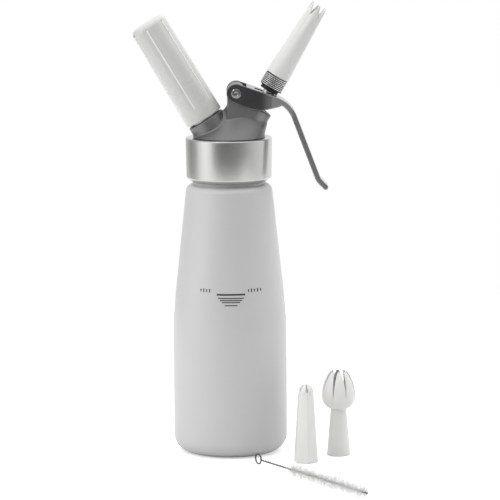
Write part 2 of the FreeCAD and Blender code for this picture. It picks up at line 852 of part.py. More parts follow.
def make_valve_fittings():
    """Seal and retainer below the seat, and the O-ring and guide bush above the cream passage."""
    shoulder = size.valve_seat - size.valve_seat_gap
    tail_fit = size.stem_tail_radius + size.press_gap
    stem_fit = size.stem_radius + size.running_clearance
    seal_floor = shoulder - size.seal_thickness
    bore = size.guide_radius - size.press_gap
    o_ring_top = size.guide_floor + size.o_ring_thickness
    seal = ring("valve_seal", tail_fit, size.seal_radius, seal_floor, shoulder)
    retainer = new_body("seal_retainer")
    sides = int(size.retainer_flats.value)
    radius = size.retainer_radius
    hexagon = polygon_corners(radius, sides)
    extruded(retainer, "nut", [hexagon, (ZERO, ZERO, tail_fit)], size.retainer_thickness,
             role="XY_Plane", lift=seal_floor - size.retainer_thickness / 2)
    o_ring = ring("stem_o_ring", stem_fit, bore, size.guide_floor, o_ring_top)
    bush = ring("stem_guide_bush", stem_fit, bore, o_ring_top, spring_pocket_floor)
    for item in (seal, retainer, o_ring, bush):
        place_on_axis(item, VALVE)


def polygon_corners(radius, count):
    """The corners of a regular polygon about the sketch's origin."""
    corners = []
    for index in range(count):
        angle = as_cell(FULL_TURN / count * (index + HALF_STEP))
        corners.append((radius * cosine(angle), radius * sine(angle)))
    return corners


def make_valve_spring():
    """Compression spring between the bottom of its pocket and the stem's pusher flange."""
    wire = size.spring_wire_radius.value
    mean = size.spring_mean_radius.value
    low = spring_pocket_floor.value + wire + size.seat_gap.value
    high = pusher_floor.value - wire - size.seat_gap.value
    steps = int(size.spring_steps.value)
    turns = int(size.spring_turns.value)
    rise = (high - low) / (turns * steps)
    sections = []
    for step in range(turns * steps + 1):
        angle = math.radians(FULL_TURN / steps * step)
        outward = Vector(math.cos(angle), math.sin(angle), 0)
        along = Vector(-mean * outward.y, mean * outward.x, rise * steps / math.radians(FULL_TURN))
        centre = outward * mean + Vector(0, 0, low + rise * step)
        sections.append(wire_section(centre, outward, along.normalize().cross(outward), wire))
    spring = document.addObject("Part::Feature", "valve_spring")
    spring.Shape = Part.makeLoft(sections, True, True)
    spring.Label = "valve_spring"
    place_on_axis(spring, VALVE)


def wire_section(centre, outward, upward, radius):
    """A polygon for the round wire's section, square to the wire."""
    sides = int(size.spring_wire_sides.value)
    points = []
    for side in range(sides):
        angle = math.radians(FULL_TURN / sides * side)
        points.append(centre + outward * (radius * math.cos(angle)) + upward * (radius * math.sin(angle)))
    return Part.makePolygon([*points, points[0]])


# ---------------------------------------------------------------- lever

def make_lever():
    """Forked lever: two cheeks on the pivot, a plate over the valve, and a curled finger arm."""
    body = new_body("lever")
    extruded(body, "side_shape", [lever_side()], cheek_outside * 2)
    arm = size.arm_width / 2
    far = size.arm_taper_end * 2
    wide = cheek_outside * 2
    waist = []
    for side in (1, -1):
        waist.append([
            (size.arm_taper_start, cheek_outside * side),
            (size.arm_taper_end, arm * side),
            (far, arm * side),
            (far, wide * side),
            (size.arm_taper_start, wide * side),
        ])
    tall = pivot_height * 3
    extruded(body, "plan_shape", waist, tall, cut=True, role="XY_Plane")
    fork_end = size.pivot_offset + size.pivot_barrel_radius + size.fork_clearance
    fork_start = size.pivot_offset - size.cheek_end_radius * 2
    extruded(body, "fork", [[
        (fork_start, -cheek_inside),
        (fork_end, -cheek_inside),
        (fork_end, cheek_inside),
        (fork_start, cheek_inside),
    ]], tall, cut=True, role="XY_Plane")
    extruded(body, "hollow", [lever_hollow()], cheek_inside * 2, cut=True)
    cam = (cam_height * sine(size.axis_angle),
           junction_height + cam_height * cosine(size.axis_angle), size.cam_radius)
    extruded(body, "cam", [cam], cheek_inside * 2 + size.cheek_thickness)
    slot = size.stem_slot_length / 2
    middle = cam_height * sine(size.axis_angle) - size.stem_slot_offset
    half = size.stem_slot_width / 2
    extruded(body, "stem_slot", [[
        (middle - slot, -half),
        (middle + slot, -half),
        (middle + slot, half),
        (middle - slot, half),
    ]], tall, cut=True, role="XY_Plane")
    bore = size.pivot_pin_radius + size.running_clearance
    extruded(body, "pivot_bores", [(size.pivot_offset, pivot_height, bore)], wide * 2, cut=True)


def lever_line(distance, inset):
    """A point on the lever's straight top, at a distance from the cheek's round end."""
    slope = size.lever_top_angle
    reach = size.cheek_end_radius - inset
    across = size.pivot_offset + reach * sine(slope) + distance * cosine(slope)
    up = pivot_height + reach * cosine(slope) - distance * sine(slope)
    return across, up


def bend_centre():
    """The centre of the bend between the lever's top and its arm."""
    across, up = lever_line(size.lever_top_length, ZERO)
    radius = size.lever_bend_radius
    return across - radius * sine(size.lever_top_angle), up - radius * cosine(size.lever_top_angle)


def bend_point(radius, slope):
    """A point of the bend, at a radius from its centre, where the lever has this slope."""
    across, up = bend_centre()
    return across + radius * sine(slope), up + radius * cosine(slope)


def curl_points(side):
    """Start, end and far end of the curl, on the arm's outer (0) or inner (1) face."""
    thickness = size.arm_thickness * side
    start_across, start_up = bend_point(size.lever_bend_radius - thickness, size.arm_angle)
    start_across = start_across + size.arm_length * cosine(size.arm_angle)
    start_up = start_up - size.arm_length * sine(size.arm_angle)
    radius = size.curl_radius + thickness
    centre_across = start_across + radius * sine(size.arm_angle)
    centre_up = start_up + radius * cosine(size.arm_angle)
    turn_across = centre_across - radius * sine(size.curl_angle)
    turn_up = centre_up - radius * cosine(size.curl_angle)
    end_across = turn_across + size.curl_length * cosine(size.curl_angle)
    end_up = turn_up - size.curl_length * sine(size.curl_angle)
    return (start_across, start_up), (turn_across, turn_up), (end_across, end_up)


def lever_side():
    """The lever's outline from the side, from the top of the cheek round the arm and back."""
    end = size.cheek_end_radius
    toe = size.cheek_toe_angle
    toe_place = (size.pivot_offset - end * cosine(toe), pivot_height - end * sine(toe))
    heel = (size.pivot_offset + size.cheek_heel_offset, pivot_height - size.cheek_heel_drop)
    heel_end = (heel[0] + size.cheek_heel_length, heel[1] + size.cheek_heel_rise)
    inner_bend = size.lever_bend_radius - size.arm_thickness
    outer_start, outer_turn, outer_end = curl_points(0)
    inner_start, inner_turn, inner_end = curl_points(1)
    half = size.arm_thickness / 2
    tip_across = (outer_end[0] + inner_end[0]) / 2 + half * cosine(size.curl_angle)
    tip_up = (outer_end[1] + inner_end[1]) / 2 - half * sine(size.curl_angle)
    back = (size.pivot_offset - end, pivot_height)
    return [
        (*toe_place, end, +1),
        (*heel, size.cheek_curve_radius, +1),
        (*heel_end, size.cheek_heel_radius, +1),
        bend_point(inner_bend, size.cheek_end_angle),
        (*bend_point(inner_bend, size.arm_angle), inner_bend, -1),
        inner_start,
        (*inner_turn, size.curl_radius + size.arm_thickness, +1),
        inner_end,
        (tip_across, tip_up, half, +1),
        (*outer_end, half, +1),
        outer_turn,
        (*outer_start, size.curl_radius, -1),
        bend_point(size.lever_bend_radius, size.arm_angle),
        (*bend_point(size.lever_bend_radius, size.lever_top_angle), size.lever_bend_radius, +1),
        lever_line(ZERO, ZERO),
        (*back, end, +1),
    ]


def lever_hollow():
    """The space between the cheeks, below the plate."""
    inner_bend = size.lever_bend_radius - size.arm_thickness
    start_across, start_up = lever_line(ZERO, size.arm_thickness)
    bend_across, bend_up = bend_point(inner_bend, size.lever_top_angle)
    end_across, end_up = bend_point(inner_bend, size.cheek_end_angle)
    floor = pivot_height - size.cheek_heel_drop * 2
    return [
        (start_across, floor),
        (end_across, floor),
        (end_across, end_up),
        (bend_across, bend_up, inner_bend, +1),
        (start_across, start_up),
    ]


def make_pivot():
    """Headed pin through the column and both cheeks, held by a clip on its far end."""
    pin = new_body("lever_pivot_pin")
    face = cheek_outside + size.running_clearance
    head = face + size.pivot_head_thickness
    tail = face + size.pivot_clip_thickness * 2
    turned(pin, "pin", [
        (ZERO, -tail),
        (size.pivot_pin_radius, -tail),
        (size.pivot_pin_radius, face),
        (size.pivot_head_radius, face),
        (size.pivot_head_radius - size.pivot_head_thickness / 2, head),
        (ZERO, head),
    ])
    clip = ring("pivot_clip", size.pivot_pin_radius + size.press_gap, size.pivot_head_radius,
                -face - size.pivot_clip_thickness, -face)
    for item in (pin, clip):
        place(item, size.pivot_offset, ZERO, pivot_height, Vector(1, 0, 0), QUARTER_TURN)


# ---------------------------------------------------------------- decorator tips

def make_tip_adapter():
    """Adapter on the stem: a threaded collar below the tip and a nipple inside it."""
    body = new_body("tip_adapter")
    bore = size.stem_radius + size.running_clearance
    top = adapter_collar_top + size.adapter_nipple_length
    stem_end = stem_top + size.tip_gap
    turned(body, "adapter", [
        (bore, adapter_base),
        (size.adapter_neck_radius, adapter_base),
        (size.adapter_collar_radius, adapter_collar_base),
        (size.adapter_collar_radius, adapter_collar_top),
        (size.adapter_nipple_radius, adapter_collar_top),
        (size.adapter_nipple_radius, top),
        (size.adapter_bore_radius, top),
        (size.adapter_bore_radius, stem_end),
        (bore, stem_end),
    ])
    place_on_axis(body, VALVE)


def make_star_tip():
    """Moulded tip with a socket for the adapter, a long taper and a crown of prongs."""
    body = new_body("star_tip")
    base = adapter_collar_top + size.tip_gap
    top = base + size.tip_length
    socket = size.adapter_nipple_radius + size.insert_clearance
    socket_top = base + size.tip_socket_depth
    turned(body, "cone", [
        (socket, base),
        (size.tip_base_radius, base),
        (size.tip_end_radius, top),
        (size.tip_end_radius - size.tip_wall, top),
        (socket - size.tip_wall / 2, socket_top),
        (socket, socket_top),
    ])
    half = size.tip_notch_width / 2
    notch_root = size.tip_notch_root / 2
    deep = top - size.tip_prong_length
    notch = extruded(body, "notch", [[
        (-notch_root, deep),
        (notch_root, deep),
        (half, top),
        (-half, top),
    ]], cut=True, swing=size.tip_crown_angle, **one_side(size.tip_base_radius * 2))
    repeated(body, "crown", notch, size.tip_prong_count)
    place_on_axis(body, VALVE)


def make_spare_straight_tip():
    """Six-sided tapered tip with a domed, slotted end, standing on its socket."""
    body = new_body("spare_straight_tip")
    side_top = size.straight_tip_side_height
    top = side_top + size.straight_tip_dome_height
    count = int(size.straight_tip_sides.value)
    base = new_sketch(body, "hexagon_base", "XY_Plane")
    draw_outline(base, polygon_corners(size.straight_tip_base_radius, count))
    crown = new_sketch(body, "hexagon_top", "XY_Plane", lift=side_top)
    draw_outline(crown, polygon_corners(size.straight_tip_top_radius, count))
    lofted(body, "sides", [base, crown])
    flat = size.straight_tip_top_radius * cosine(HALF_TURN / size.straight_tip_sides)
    dome = (flat * flat + size.straight_tip_dome_height * size.straight_tip_dome_height)
    dome_radius = dome / (size.straight_tip_dome_height * 2)
    wall = size.straight_tip_wall
    turned(body, "dome", [
        (ZERO, side_top - wall),
        (flat, side_top - wall),
        (flat, side_top),
        (ZERO, top, dome_radius, +1),
    ])
    turned(body, "socket", [
        (ZERO, ZERO),
        (size.straight_tip_socket_radius, ZERO),
        (flat - wall, side_top),
        (ZERO, top - wall, dome_radius, +1),
    ], cut=True)
    half = size.straight_tip_slot_width / 2
    deep = top - size.straight_tip_slot_depth
    slot = extruded(body, "slot", [[
        (-half, deep),
        (half, deep),
        (half, top + wall),
        (-half, top + wall),
    ]], cut=True, **one_side(size.straight_tip_top_radius * 2))
    repeated(body, "slots", slot, size.straight_tip_slot_count)
    place(body, size.straight_tip_across, size.straight_tip_back, ZERO, NORMAL, size.straight_tip_angle)


def make_spare_tulip_tip():
    """Round tapered tip that opens into a bulb of petals, standing on its socket."""
    body = new_body("spare_tulip_tip")
    wall = size.tulip_wall
    neck_up = size.tulip_neck_height
    bulb_up = size.tulip_bulb_height
    top = size.tulip_height
    bulb = size.tulip_bulb_radius
    mouth = size.tulip_mouth_radius
    lower_radius = size.tulip_flare_radius
    upper_radius = size.tulip_petal_radius
    turned(body, "petals", [
        (size.tulip_base_radius - wall, ZERO),
        (size.tulip_base_radius, ZERO),
        (size.tulip_neck_radius, neck_up),
        (bulb, bulb_up, lower_radius, +1),
        (mouth, top, upper_radius, +1),
        (mouth - wall, top),
        (bulb - wall, bulb_up, upper_radius, -1),
        (size.tulip_neck_radius - wall, neck_up, lower_radius, -1),
    ])
    half = size.tulip_slot_width / 2
    slot = extruded(body, "petal_gap", [[
        (ZERO, top - size.tulip_petal_length),
        (half, top + wall),
        (-half, top + wall),
    ]], cut=True, **one_side(bulb * 2))
    repeated(body, "petal_gaps", slot, size.tulip_petal_count)
    place(body, size.tulip_tip_across, size.tulip_tip_back, ZERO, NORMAL, size.tulip_tip_angle)


# ---------------------------------------------------------------- cleaning brush

def make_brush():
    """Twisted wire with a finger ring, and the bristles on its far stretch."""
    wire = document.addObject("Part::Cylinder", "brush_stem")
    bind(wire, "Radius", size.brush_wire_radius)
    bind(wire, "Height", size.brush_length - size.brush_ring_radius)
    bind(wire, "Placement.Base.z", size.brush_ring_radius)
    loop = document.addObject("Part::Torus", "brush_ring")
    bind(loop, "Radius1", size.brush_ring_radius)
    bind(loop, "Radius2", size.brush_wire_radius)
    loop.Placement.Rotation = Rotation(Vector(0, 1, 0), 90)
    brush = document.addObject("Part::Fuse", "brush_wire")
    brush.Base = wire
    brush.Tool = loop
    brush.Label = "brush_wire"
    bristles = new_body("brush_bristles")
    start = size.bristle_start
    end = start + size.bristle_length
    taper = size.bristle_end_length
    core = size.brush_wire_radius + size.press_gap
    turned(bristles, "bristle_mass", [
        (core, start),
        (size.bristle_core_radius, start),
        (size.bristle_radius, start + taper),
        (size.bristle_radius, end - taper),
        (size.bristle_core_radius, end),
        (core, end),
    ])
    for item in (brush, bristles):
        lay_down(item)


def lay_down(item):
    """Lays an upright sub-part along the brush's heading, at the height of its axis."""
    heading = math.radians(size.brush_heading_angle.value)
    along = Vector(math.cos(heading), -math.sin(heading), 0)
    turn = Rotation(Vector(0, 0, 1), along)
    item.Placement = Placement(Vector(0, 0, 0), turn)
    bind(item, "Placement.Base.x", size.brush_ring_across)
    bind(item, "Placement.Base.y", size.brush_ring_back)
    bind(item, "Placement.Base.z", size.brush_axis_height)


# ---------------------------------------------------------------- build and export

def write_parts(labels):
    """Checks every object and writes one STEP file for each sub-part."""
    document.recompute()
    for item in document.Objects:
        if "Invalid" in item.State or "Error" in item.State:
            raise RuntimeError(item.Label + " " + str(item.State))
    parts = [item for item in document.Objects if item.Label in labels]
    for item in parts:
        if item.Shape.isNull() or not item.Shape.isValid():
            raise RuntimeError(item.Label + " has no valid shape")
    os.makedirs("parts", exist_ok=True)
    for item in parts:
        item.Shape.exportStep("parts/" + item.Label + ".step")
    return parts


NODES = (
    "bottle", "head_casting", "head_gasket", "lever", "lever_pivot_pin", "pivot_clip", "valve_stem",
    "valve_seal", "seal_retainer", "valve_spring", "stem_o_ring", "stem_guide_bush", "tip_adapter",
    "star_tip", "charger_holder", "holder_insert", "gas_charger", "inlet_valve_disc",
    "piercing_pin_body", "piercing_pin", "charger_seal", "spare_straight_tip", "spare_tulip_tip",
    "brush_wire", "brush_bristles",
)

fill_sheet()
make_bottle()
make_head_casting()
make_head_gasket()
make_charger_parts()
make_gas_charger()
make_charger_holder()
make_valve_stem()
make_valve_fittings()
make_valve_spring()
make_lever()
make_pivot()
make_tip_adapter()
make_star_tip()
make_spare_straight_tip()
make_spare_tulip_tip()
make_brush()
for part in write_parts(NODES):
    print(part.Label, round(part.Shape.Volume, 1), len(part.Shape.Solids))
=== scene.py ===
"""Whipped cream dispenser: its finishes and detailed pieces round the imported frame.

Everything is in metres, with +Z up the bottle, +X to the lever and the decorator tip, and the
origin under the bottle's foot. The charger leans to -X and the valve to +X by the same angle.
"""
import json
import logging
import math
import random
from contextlib import contextmanager
from dataclasses import dataclass
from enum import Enum
from typing import Iterator

import bpy
from mathutils import Matrix, Vector

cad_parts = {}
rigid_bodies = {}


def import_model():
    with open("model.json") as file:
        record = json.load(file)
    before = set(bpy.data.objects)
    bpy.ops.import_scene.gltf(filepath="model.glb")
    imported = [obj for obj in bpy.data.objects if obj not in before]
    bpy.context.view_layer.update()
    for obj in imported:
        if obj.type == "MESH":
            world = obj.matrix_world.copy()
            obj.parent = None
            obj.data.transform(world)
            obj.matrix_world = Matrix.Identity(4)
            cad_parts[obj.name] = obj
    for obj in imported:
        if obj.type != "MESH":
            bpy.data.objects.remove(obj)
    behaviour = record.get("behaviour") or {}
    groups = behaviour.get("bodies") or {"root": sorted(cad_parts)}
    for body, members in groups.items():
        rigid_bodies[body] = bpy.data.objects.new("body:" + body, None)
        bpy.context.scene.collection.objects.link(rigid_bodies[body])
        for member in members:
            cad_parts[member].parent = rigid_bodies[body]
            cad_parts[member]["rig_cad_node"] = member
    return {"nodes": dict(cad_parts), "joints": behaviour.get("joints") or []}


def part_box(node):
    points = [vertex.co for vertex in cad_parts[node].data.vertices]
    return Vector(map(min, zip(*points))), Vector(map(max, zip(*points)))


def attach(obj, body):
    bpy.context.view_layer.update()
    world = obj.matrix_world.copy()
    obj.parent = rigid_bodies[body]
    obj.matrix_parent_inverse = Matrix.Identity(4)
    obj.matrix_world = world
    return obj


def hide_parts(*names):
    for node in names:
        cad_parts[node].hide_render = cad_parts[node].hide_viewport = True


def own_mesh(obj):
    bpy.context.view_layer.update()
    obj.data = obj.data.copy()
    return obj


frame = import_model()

log = logging.getLogger("dispenser")

Shape = bpy.types.Object
Socket = bpy.types.NodeSocket
Point = tuple[float, float]
Triple = tuple[float, float, float]

MM = 0.001
FULL_TURN = math.tau
SMOOTH_ANGLE = math.radians(32)
WELD = 2e-6
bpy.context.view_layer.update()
UP = Vector((0, 0, 1))


def axis_of(joint: str) -> tuple[Vector, Vector]:
    """The unit axis and the foot of one of the frame's hinges."""
    found = [item for item in frame["joints"] if item["name"] == joint][0]
    return Vector(found["axis"]).normalized(), Vector(found["pos_m"])


VALVE_AXIS, JUNCTION = axis_of("tip_turn")
CHARGER_AXIS, _ = axis_of("holder_turn")


# ---- modelling with operators


def pick(*pieces: Shape) -> None:
    """Selects only these objects and makes the last one active."""
    if bpy.context.object and bpy.context.object.mode != "OBJECT":
        bpy.ops.object.mode_set(mode="OBJECT")
    bpy.ops.object.select_all(action="DESELECT")
    for piece in pieces:
        piece.select_set(True)
        bpy.context.view_layer.objects.active = piece


@contextmanager
def editing(piece: Shape) -> Iterator[None]:
    """Edit mode on one piece with everything selected, and object mode again afterwards."""
    pick(piece)
    bpy.ops.object.mode_set(mode="EDIT")
    bpy.ops.mesh.select_all(action="SELECT")
    yield
    bpy.ops.object.mode_set(mode="OBJECT")


def named(name: str) -> Shape:
    """Names the active object and its mesh, and returns it."""
    piece = bpy.context.object
    piece.name = piece.data.name = name
    return piece


def settle(piece: Shape) -> Shape:
    """Applies the object's place, turn and scale to its mesh."""
    pick(piece)
    bpy.ops.object.transform_apply(location=True, rotation=True, scale=True)
    return piece


def seal(piece: Shape, distance: float = WELD) -> Shape:
    """Merges points nearer than the distance and turns every face outwards."""
    with editing(piece):
        bpy.ops.mesh.remove_doubles(threshold=distance)
        bpy.ops.mesh.normals_make_consistent(inside=False)
    return piece


def smooth(piece: Shape, angle: float = SMOOTH_ANGLE) -> Shape:
    """Shades the piece smooth except across edges sharper than the angle."""
    pick(piece)
    bpy.ops.object.shade_smooth_by_angle(angle=angle)
    return piece


def finish_modifier(piece: Shape, kind: str, **values: object) -> Shape:
    """Adds a modifier, sets it up and applies it.

    Args:
        piece: the piece to change.
        kind: the modifier's type, such as BEVEL.
        values: the modifier's settings.

    Returns:
        The same piece.
    """
    pick(piece)
    bpy.ops.object.modifier_add(type=kind)
    modifier = piece.modifiers[-1]
    for key, value in values.items():
        setattr(modifier, key, value)
    bpy.ops.object.modifier_apply(modifier=modifier.name)
    return piece


def carve(piece: Shape, tool: Shape, operation: str = "DIFFERENCE") -> Shape:
    """Cuts the piece with a tool shape, or joins them, and removes the tool."""
    finish_modifier(piece, "BOOLEAN", object=tool, operation=operation, solver="EXACT")
    bpy.data.objects.remove(tool, do_unlink=True)
    return piece


def break_edges(piece: Shape, width: float, segments: int = 2, angle: float = math.radians(38)) -> Shape:
    """Rounds every edge sharper than the angle."""
    return finish_modifier(piece, "BEVEL", width=width, segments=segments, limit_method="ANGLE",
                           angle_limit=angle, harden_normals=False, use_clamp_overlap=True)


class Outline:
    """A line of (across, up) points, drawn with straight runs and arcs."""

    def __init__(self, across: float, up: float) -> None:
        """Starts the line at a point."""
        self.points: list[Point] = [(across, up)]

    def to(self, across: float, up: float) -> "Outline":
        """Runs straight to a point."""
        self.points.append((across, up))
        return self

    def arc(self, across: float, up: float, radius: float, side: int, steps: int = 8) -> "Outline":
        """Runs along an arc to a point.

        Args:
            across: the end's first coordinate.
            up: the end's second coordinate.
            radius: the arc's radius.
            side: +1 has the centre on the left of the way, -1 on the right.
            steps: how many straight pieces stand for the arc.

        Returns:
            The outline itself.
        """
        start, end = Vector(self.points[-1]), Vector((across, up))
        chord = end - start
        left = Vector((-chord.y, chord.x)).normalized()
        reach = math.sqrt(max(radius * radius - chord.length_squared / 4, 0))
        centre = (start + end) / 2 + left * side * reach
        first = math.atan2(start.y - centre.y, start.x - centre.x)
        last = math.atan2(end.y - centre.y, end.x - centre.x)
        sweep = (last - first) % FULL_TURN if side > 0 else -((first - last) % FULL_TURN)
        for step in range(1, steps):
            angle = first + sweep * step / steps
            self.to(centre.x + radius * math.cos(angle), centre.y + radius * math.sin(angle))
        return self.to(across, up)

    def close(self) -> "Outline":
        """Runs straight back to the start."""
        return self.to(*self.points[0])


def round_section(across: float, up: float, radius: float, steps: int) -> Outline:
    """The section of a round wire whose middle is at a point."""
    outline = Outline(across + radius, up)
    for index in range(1, steps):
        angle = FULL_TURN * index / steps
        outline.to(across + radius * math.cos(angle), up + radius * math.sin(angle))
    return outline


def arc_radius(reach: float, rise: float) -> float:
    """The radius of an arc that starts level and rises this far over its reach."""
    return (reach ** 2 + rise ** 2) / (2 * rise)


def draw(name: str, outline: Outline) -> Shape:
    """Draws an outline as a wire in the XZ plane, one extruded point at a time."""
    start = outline.points[0]
    pick()
    bpy.ops.mesh.primitive_plane_add(size=MM, location=(start[0], 0, start[1]))
    piece = settle(named(name))
    with editing(piece):
        bpy.ops.mesh.merge(type="CENTER")
        for here, there in zip(outline.points, outline.points[1:]):
            step = (there[0] - here[0], 0, there[1] - here[1])
            bpy.ops.mesh.extrude_region_move(TRANSFORM_OT_translate={"value": step})
    return piece


def turned(name: str, outline: Outline, steps: int = 96) -> Shape:
    """Spins a (radius, height) outline round the Z axis into a closed shape.

    Args:
        name: the piece's name.
        outline: its section.
        steps: how many steps make the full turn.

    Returns:
        The turned piece, standing upright at the origin.
    """
    piece = draw(name, outline)
    with editing(piece):
        bpy.ops.mesh.spin(steps=steps, angle=FULL_TURN, center=(0, 0, 0), axis=(0, 0, 1))
    return smooth(seal(piece))


def extruded(name: str, outline: Outline, width: float) -> Shape:
    """Fills a closed outline in the XZ plane and gives it a width, centred on the plane."""
    piece = seal(draw(name, outline.close()))
    with editing(piece):
        bpy.ops.mesh.edge_face_add()
        bpy.ops.mesh.extrude_region_move(TRANSFORM_OT_translate={"value": (0, width, 0)})
        bpy.ops.mesh.select_all(action="SELECT")
        bpy.ops.transform.translate(value=(0, -width / 2, 0))
    return seal(piece)


def helix(name: str, section: Outline, rise: float, turns: float, steps: int = 72) -> Shape:
    """Screws a closed section round the Z axis and closes its two ends.

    Args:
        name: the piece's name.
        section: the (radius, height) section at the start.
        rise: how far one turn climbs.
        turns: how many turns.
        steps: steps in one turn.

    Returns:
        The closed helical piece.
    """
    piece = seal(draw(name, section.close()))
    whole = math.ceil(turns)
    share = turns / whole
    finish_modifier(piece, "SCREW", axis="Z", angle=FULL_TURN * share, screw_offset=rise * share,
                    iterations=whole, steps=round(steps * share), render_steps=round(steps * share),
                    use_normal_calculate=True)
    with editing(piece):
        bpy.ops.mesh.remove_doubles(threshold=WELD)
        bpy.ops.mesh.fill_holes(sides=0)
    return smooth(seal(piece))


def threaded(name: str, radii: Point, low: float, lead: float, turns: float, shares: Point,
             steps: int = 72) -> Shape:
    """A screw thread or a helical rib.

    Args:
        name: the piece's name.
        radii: the radius at its root and at its crest.
        low: the height of its first turn's middle.
        lead: how far one turn climbs.
        turns: how many turns.
        shares: half its width at the root and at the crest, as shares of the lead.
        steps: steps in one turn.

    Returns:
        The closed thread.
    """
    (root, crest), (foot, flat) = radii, (share * lead for share in shares)
    section = Outline(root, low - foot).to(crest, low - flat)
    if flat:
        section.to(crest, low + flat)
    return helix(name, section.to(root, low + foot), lead, turns, steps)


def joined(name: str, *pieces: Shape) -> Shape:
    """Joins shapes into one object, without fusing them."""
    pick(*pieces)
    bpy.ops.object.join()
    return named(name)


def linked(name: str, data: bpy.types.ID) -> Shape:
    """Puts a mesh, a lamp or a camera into the scene as an object of its own."""
    piece = bpy.data.objects.new(name, data)
    bpy.context.scene.collection.objects.link(piece)
    return piece


def cast_over(node: str, name: str, grain: float, passes: int, *cuts: tuple[Shape, str]) -> Shape:
    """A copy of a node with the rounded edges and fillets of a casting.

    Args:
        node: the node that is copied.
        name: the new piece's name.
        grain: the size of the remeshed faces.
        passes: how often the surface is smoothed, which sets the fillets.
        cuts: shapes that are cut from the copy, or joined to it, first.

    Returns:
        The casting, as one skin.
    """
    piece = linked(name, frame["nodes"][node].data.copy())
    piece.data.materials.clear()
    seal(piece)
    for tool, operation in cuts:
        carve(piece, tool, operation)
    finish_modifier(piece, "REMESH", mode="VOXEL", voxel_size=grain, adaptivity=0.0)
    finish_modifier(piece, "SMOOTH", factor=0.5, iterations=passes)
    pick(piece)
    bpy.ops.object.shade_smooth()
    return piece


def leaned(piece: Shape, axis: Vector, foot: Vector = JUNCTION, turn: float = 0.0) -> Shape:
    """Turns an upright piece about its own axis, leans it onto an axis and puts it at its foot.

    Args:
        piece: a piece that stands at the origin.
        axis: the axis to lean onto, in the XZ plane.
        foot: where its origin goes.
        turn: the turn about its own axis first.

    Returns:
        The same piece.
    """
    lean = Matrix.Rotation(math.atan2(axis.x, axis.z), 4, "Y")
    piece.matrix_world = Matrix.Translation(foot) @ lean @ Matrix.Rotation(turn, 4, "Z")
    return settle(piece)


def set_round(piece: Shape, turn: float, reach: Triple = (0, 0, 0)) -> Shape:
    """Moves a piece out from the Z axis, then turns it about that axis."""
    piece.matrix_world = Matrix.Rotation(turn, 4, "Z") @ Matrix.Translation(reach)
    return settle(piece)


def all_round(count: int, phase: float = 0.0) -> Iterator[float]:
    """The turns that share the full circle between a number of like features."""
    return (phase + FULL_TURN * index / count for index in range(count))


# ---- finishes


class Wiring:
    """A node tree, with short calls that add nodes and link them."""

    def __init__(self, tree: bpy.types.NodeTree) -> None:
        """Wraps a tree."""
        self.tree = tree

    def feed(self, socket: Socket, value: object) -> None:
        """Links another socket to this one, or sets its own value."""
        if isinstance(value, Socket):
            self.tree.links.new(value, socket)
        else:
            socket.default_value = value

    def feed_all(self, node: bpy.types.Node, values: dict[str, object]) -> None:
        """Feeds a node's inputs by name."""
        for name, value in values.items():
            self.feed(node.inputs[name], value)

    def add(self, kind: str, *feeds: object, **values: object) -> bpy.types.Node:
        """Adds a node.

        Args:
            kind: its type, without the ShaderNode in front.
            feeds: sockets or values for its first inputs.
            values: the same for inputs by name, with _ for a space, or the node's own settings.

        Returns:
            The node.
        """
        node = self.tree.nodes.new("ShaderNode" + kind)
        for key, value in values.items():
            socket = node.inputs.get(key.replace("_", " "))
            if socket is None:
                setattr(node, key, value)
            else:
                self.feed(socket, value)
        for socket, value in zip(node.inputs, feeds):
            self.feed(socket, value)
        return node

    def place(self) -> Socket:
        """The point of the surface in the object's own coordinates."""
        return self.add("TexCoord").outputs["Object"]

    def maths(self, operation: str, first: object, second: object, **values: object) -> Socket:
        """The result of a sum of two numbers or sockets."""
        return self.add("Math", first, second, operation=operation, **values).outputs[0]

    def mixed(self, factor: Socket, first: Socket | Triple, second: Socket | Triple) -> Socket:
        """Mixes two colours, each a socket or a plain tone."""
        mix = self.add("Mix", data_type="RGBA", Factor=factor)
        for socket, colour in zip([item for item in mix.inputs if item.type == "RGBA"], (first, second)):
            self.feed(socket, colour if isinstance(colour, Socket) else (*colour, 1.0))
        return [item for item in mix.outputs if item.type == "RGBA"][0]

    def rise(self, value: Socket, ends: Point) -> Socket:
        """Goes softly from 0 to 1 as a value goes from one end to the other."""
        return self.add("MapRange", interpolation_type="SMOOTHSTEP", Value=value, From_Min=ends[0],
                        From_Max=ends[1]).outputs["Result"]

    def effect(self, grain: "Grain", **values: float) -> Socket:
        """The result of a shared effect, with this material's own values."""
        node = self.add("Group", node_tree=bpy.data.node_groups.get(grain.value) or grain.group())
        self.feed_all(node, values)
        return node.outputs[0]


class Grain(Enum):
    """The surface effects that the finishes share, each a node group."""

    SPECKLE = "surface_speckle"
    TURNING = "turning_lines"
    HANDLING = "handling_marks"

    def group(self) -> bpy.types.NodeTree:
        """Makes the effect's node group, with named number inputs and one result."""
        tree = bpy.data.node_groups.new(self.value, "ShaderNodeTree")
        makers = {Grain.SPECKLE: (speckle, ("Scale",)), Grain.TURNING: (turning, ("Along", "Lines")),
                  Grain.HANDLING: (handling, ("Scale", "Contrast"))}
        maker, inputs = makers[self]
        for name in inputs:
            tree.interface.new_socket(name=name, in_out="INPUT", socket_type="NodeSocketFloat")
        tree.interface.new_socket(name="Result", in_out="OUTPUT", socket_type="NodeSocketFloat")
        taken, given = tree.nodes.new("NodeGroupInput"), tree.nodes.new("NodeGroupOutput")
        tree.links.new(maker(Wiring(tree), *[taken.outputs[name] for name in inputs]), given.inputs["Result"])
        return tree


def speckle(wires: Wiring, scale: Socket) -> Socket:
    """Fine blasted or sprayed speckle, as a height."""
    return wires.add("TexNoise", Vector=wires.place(), Scale=scale, Detail=2.0,
                     Roughness=0.6).outputs["Fac"]


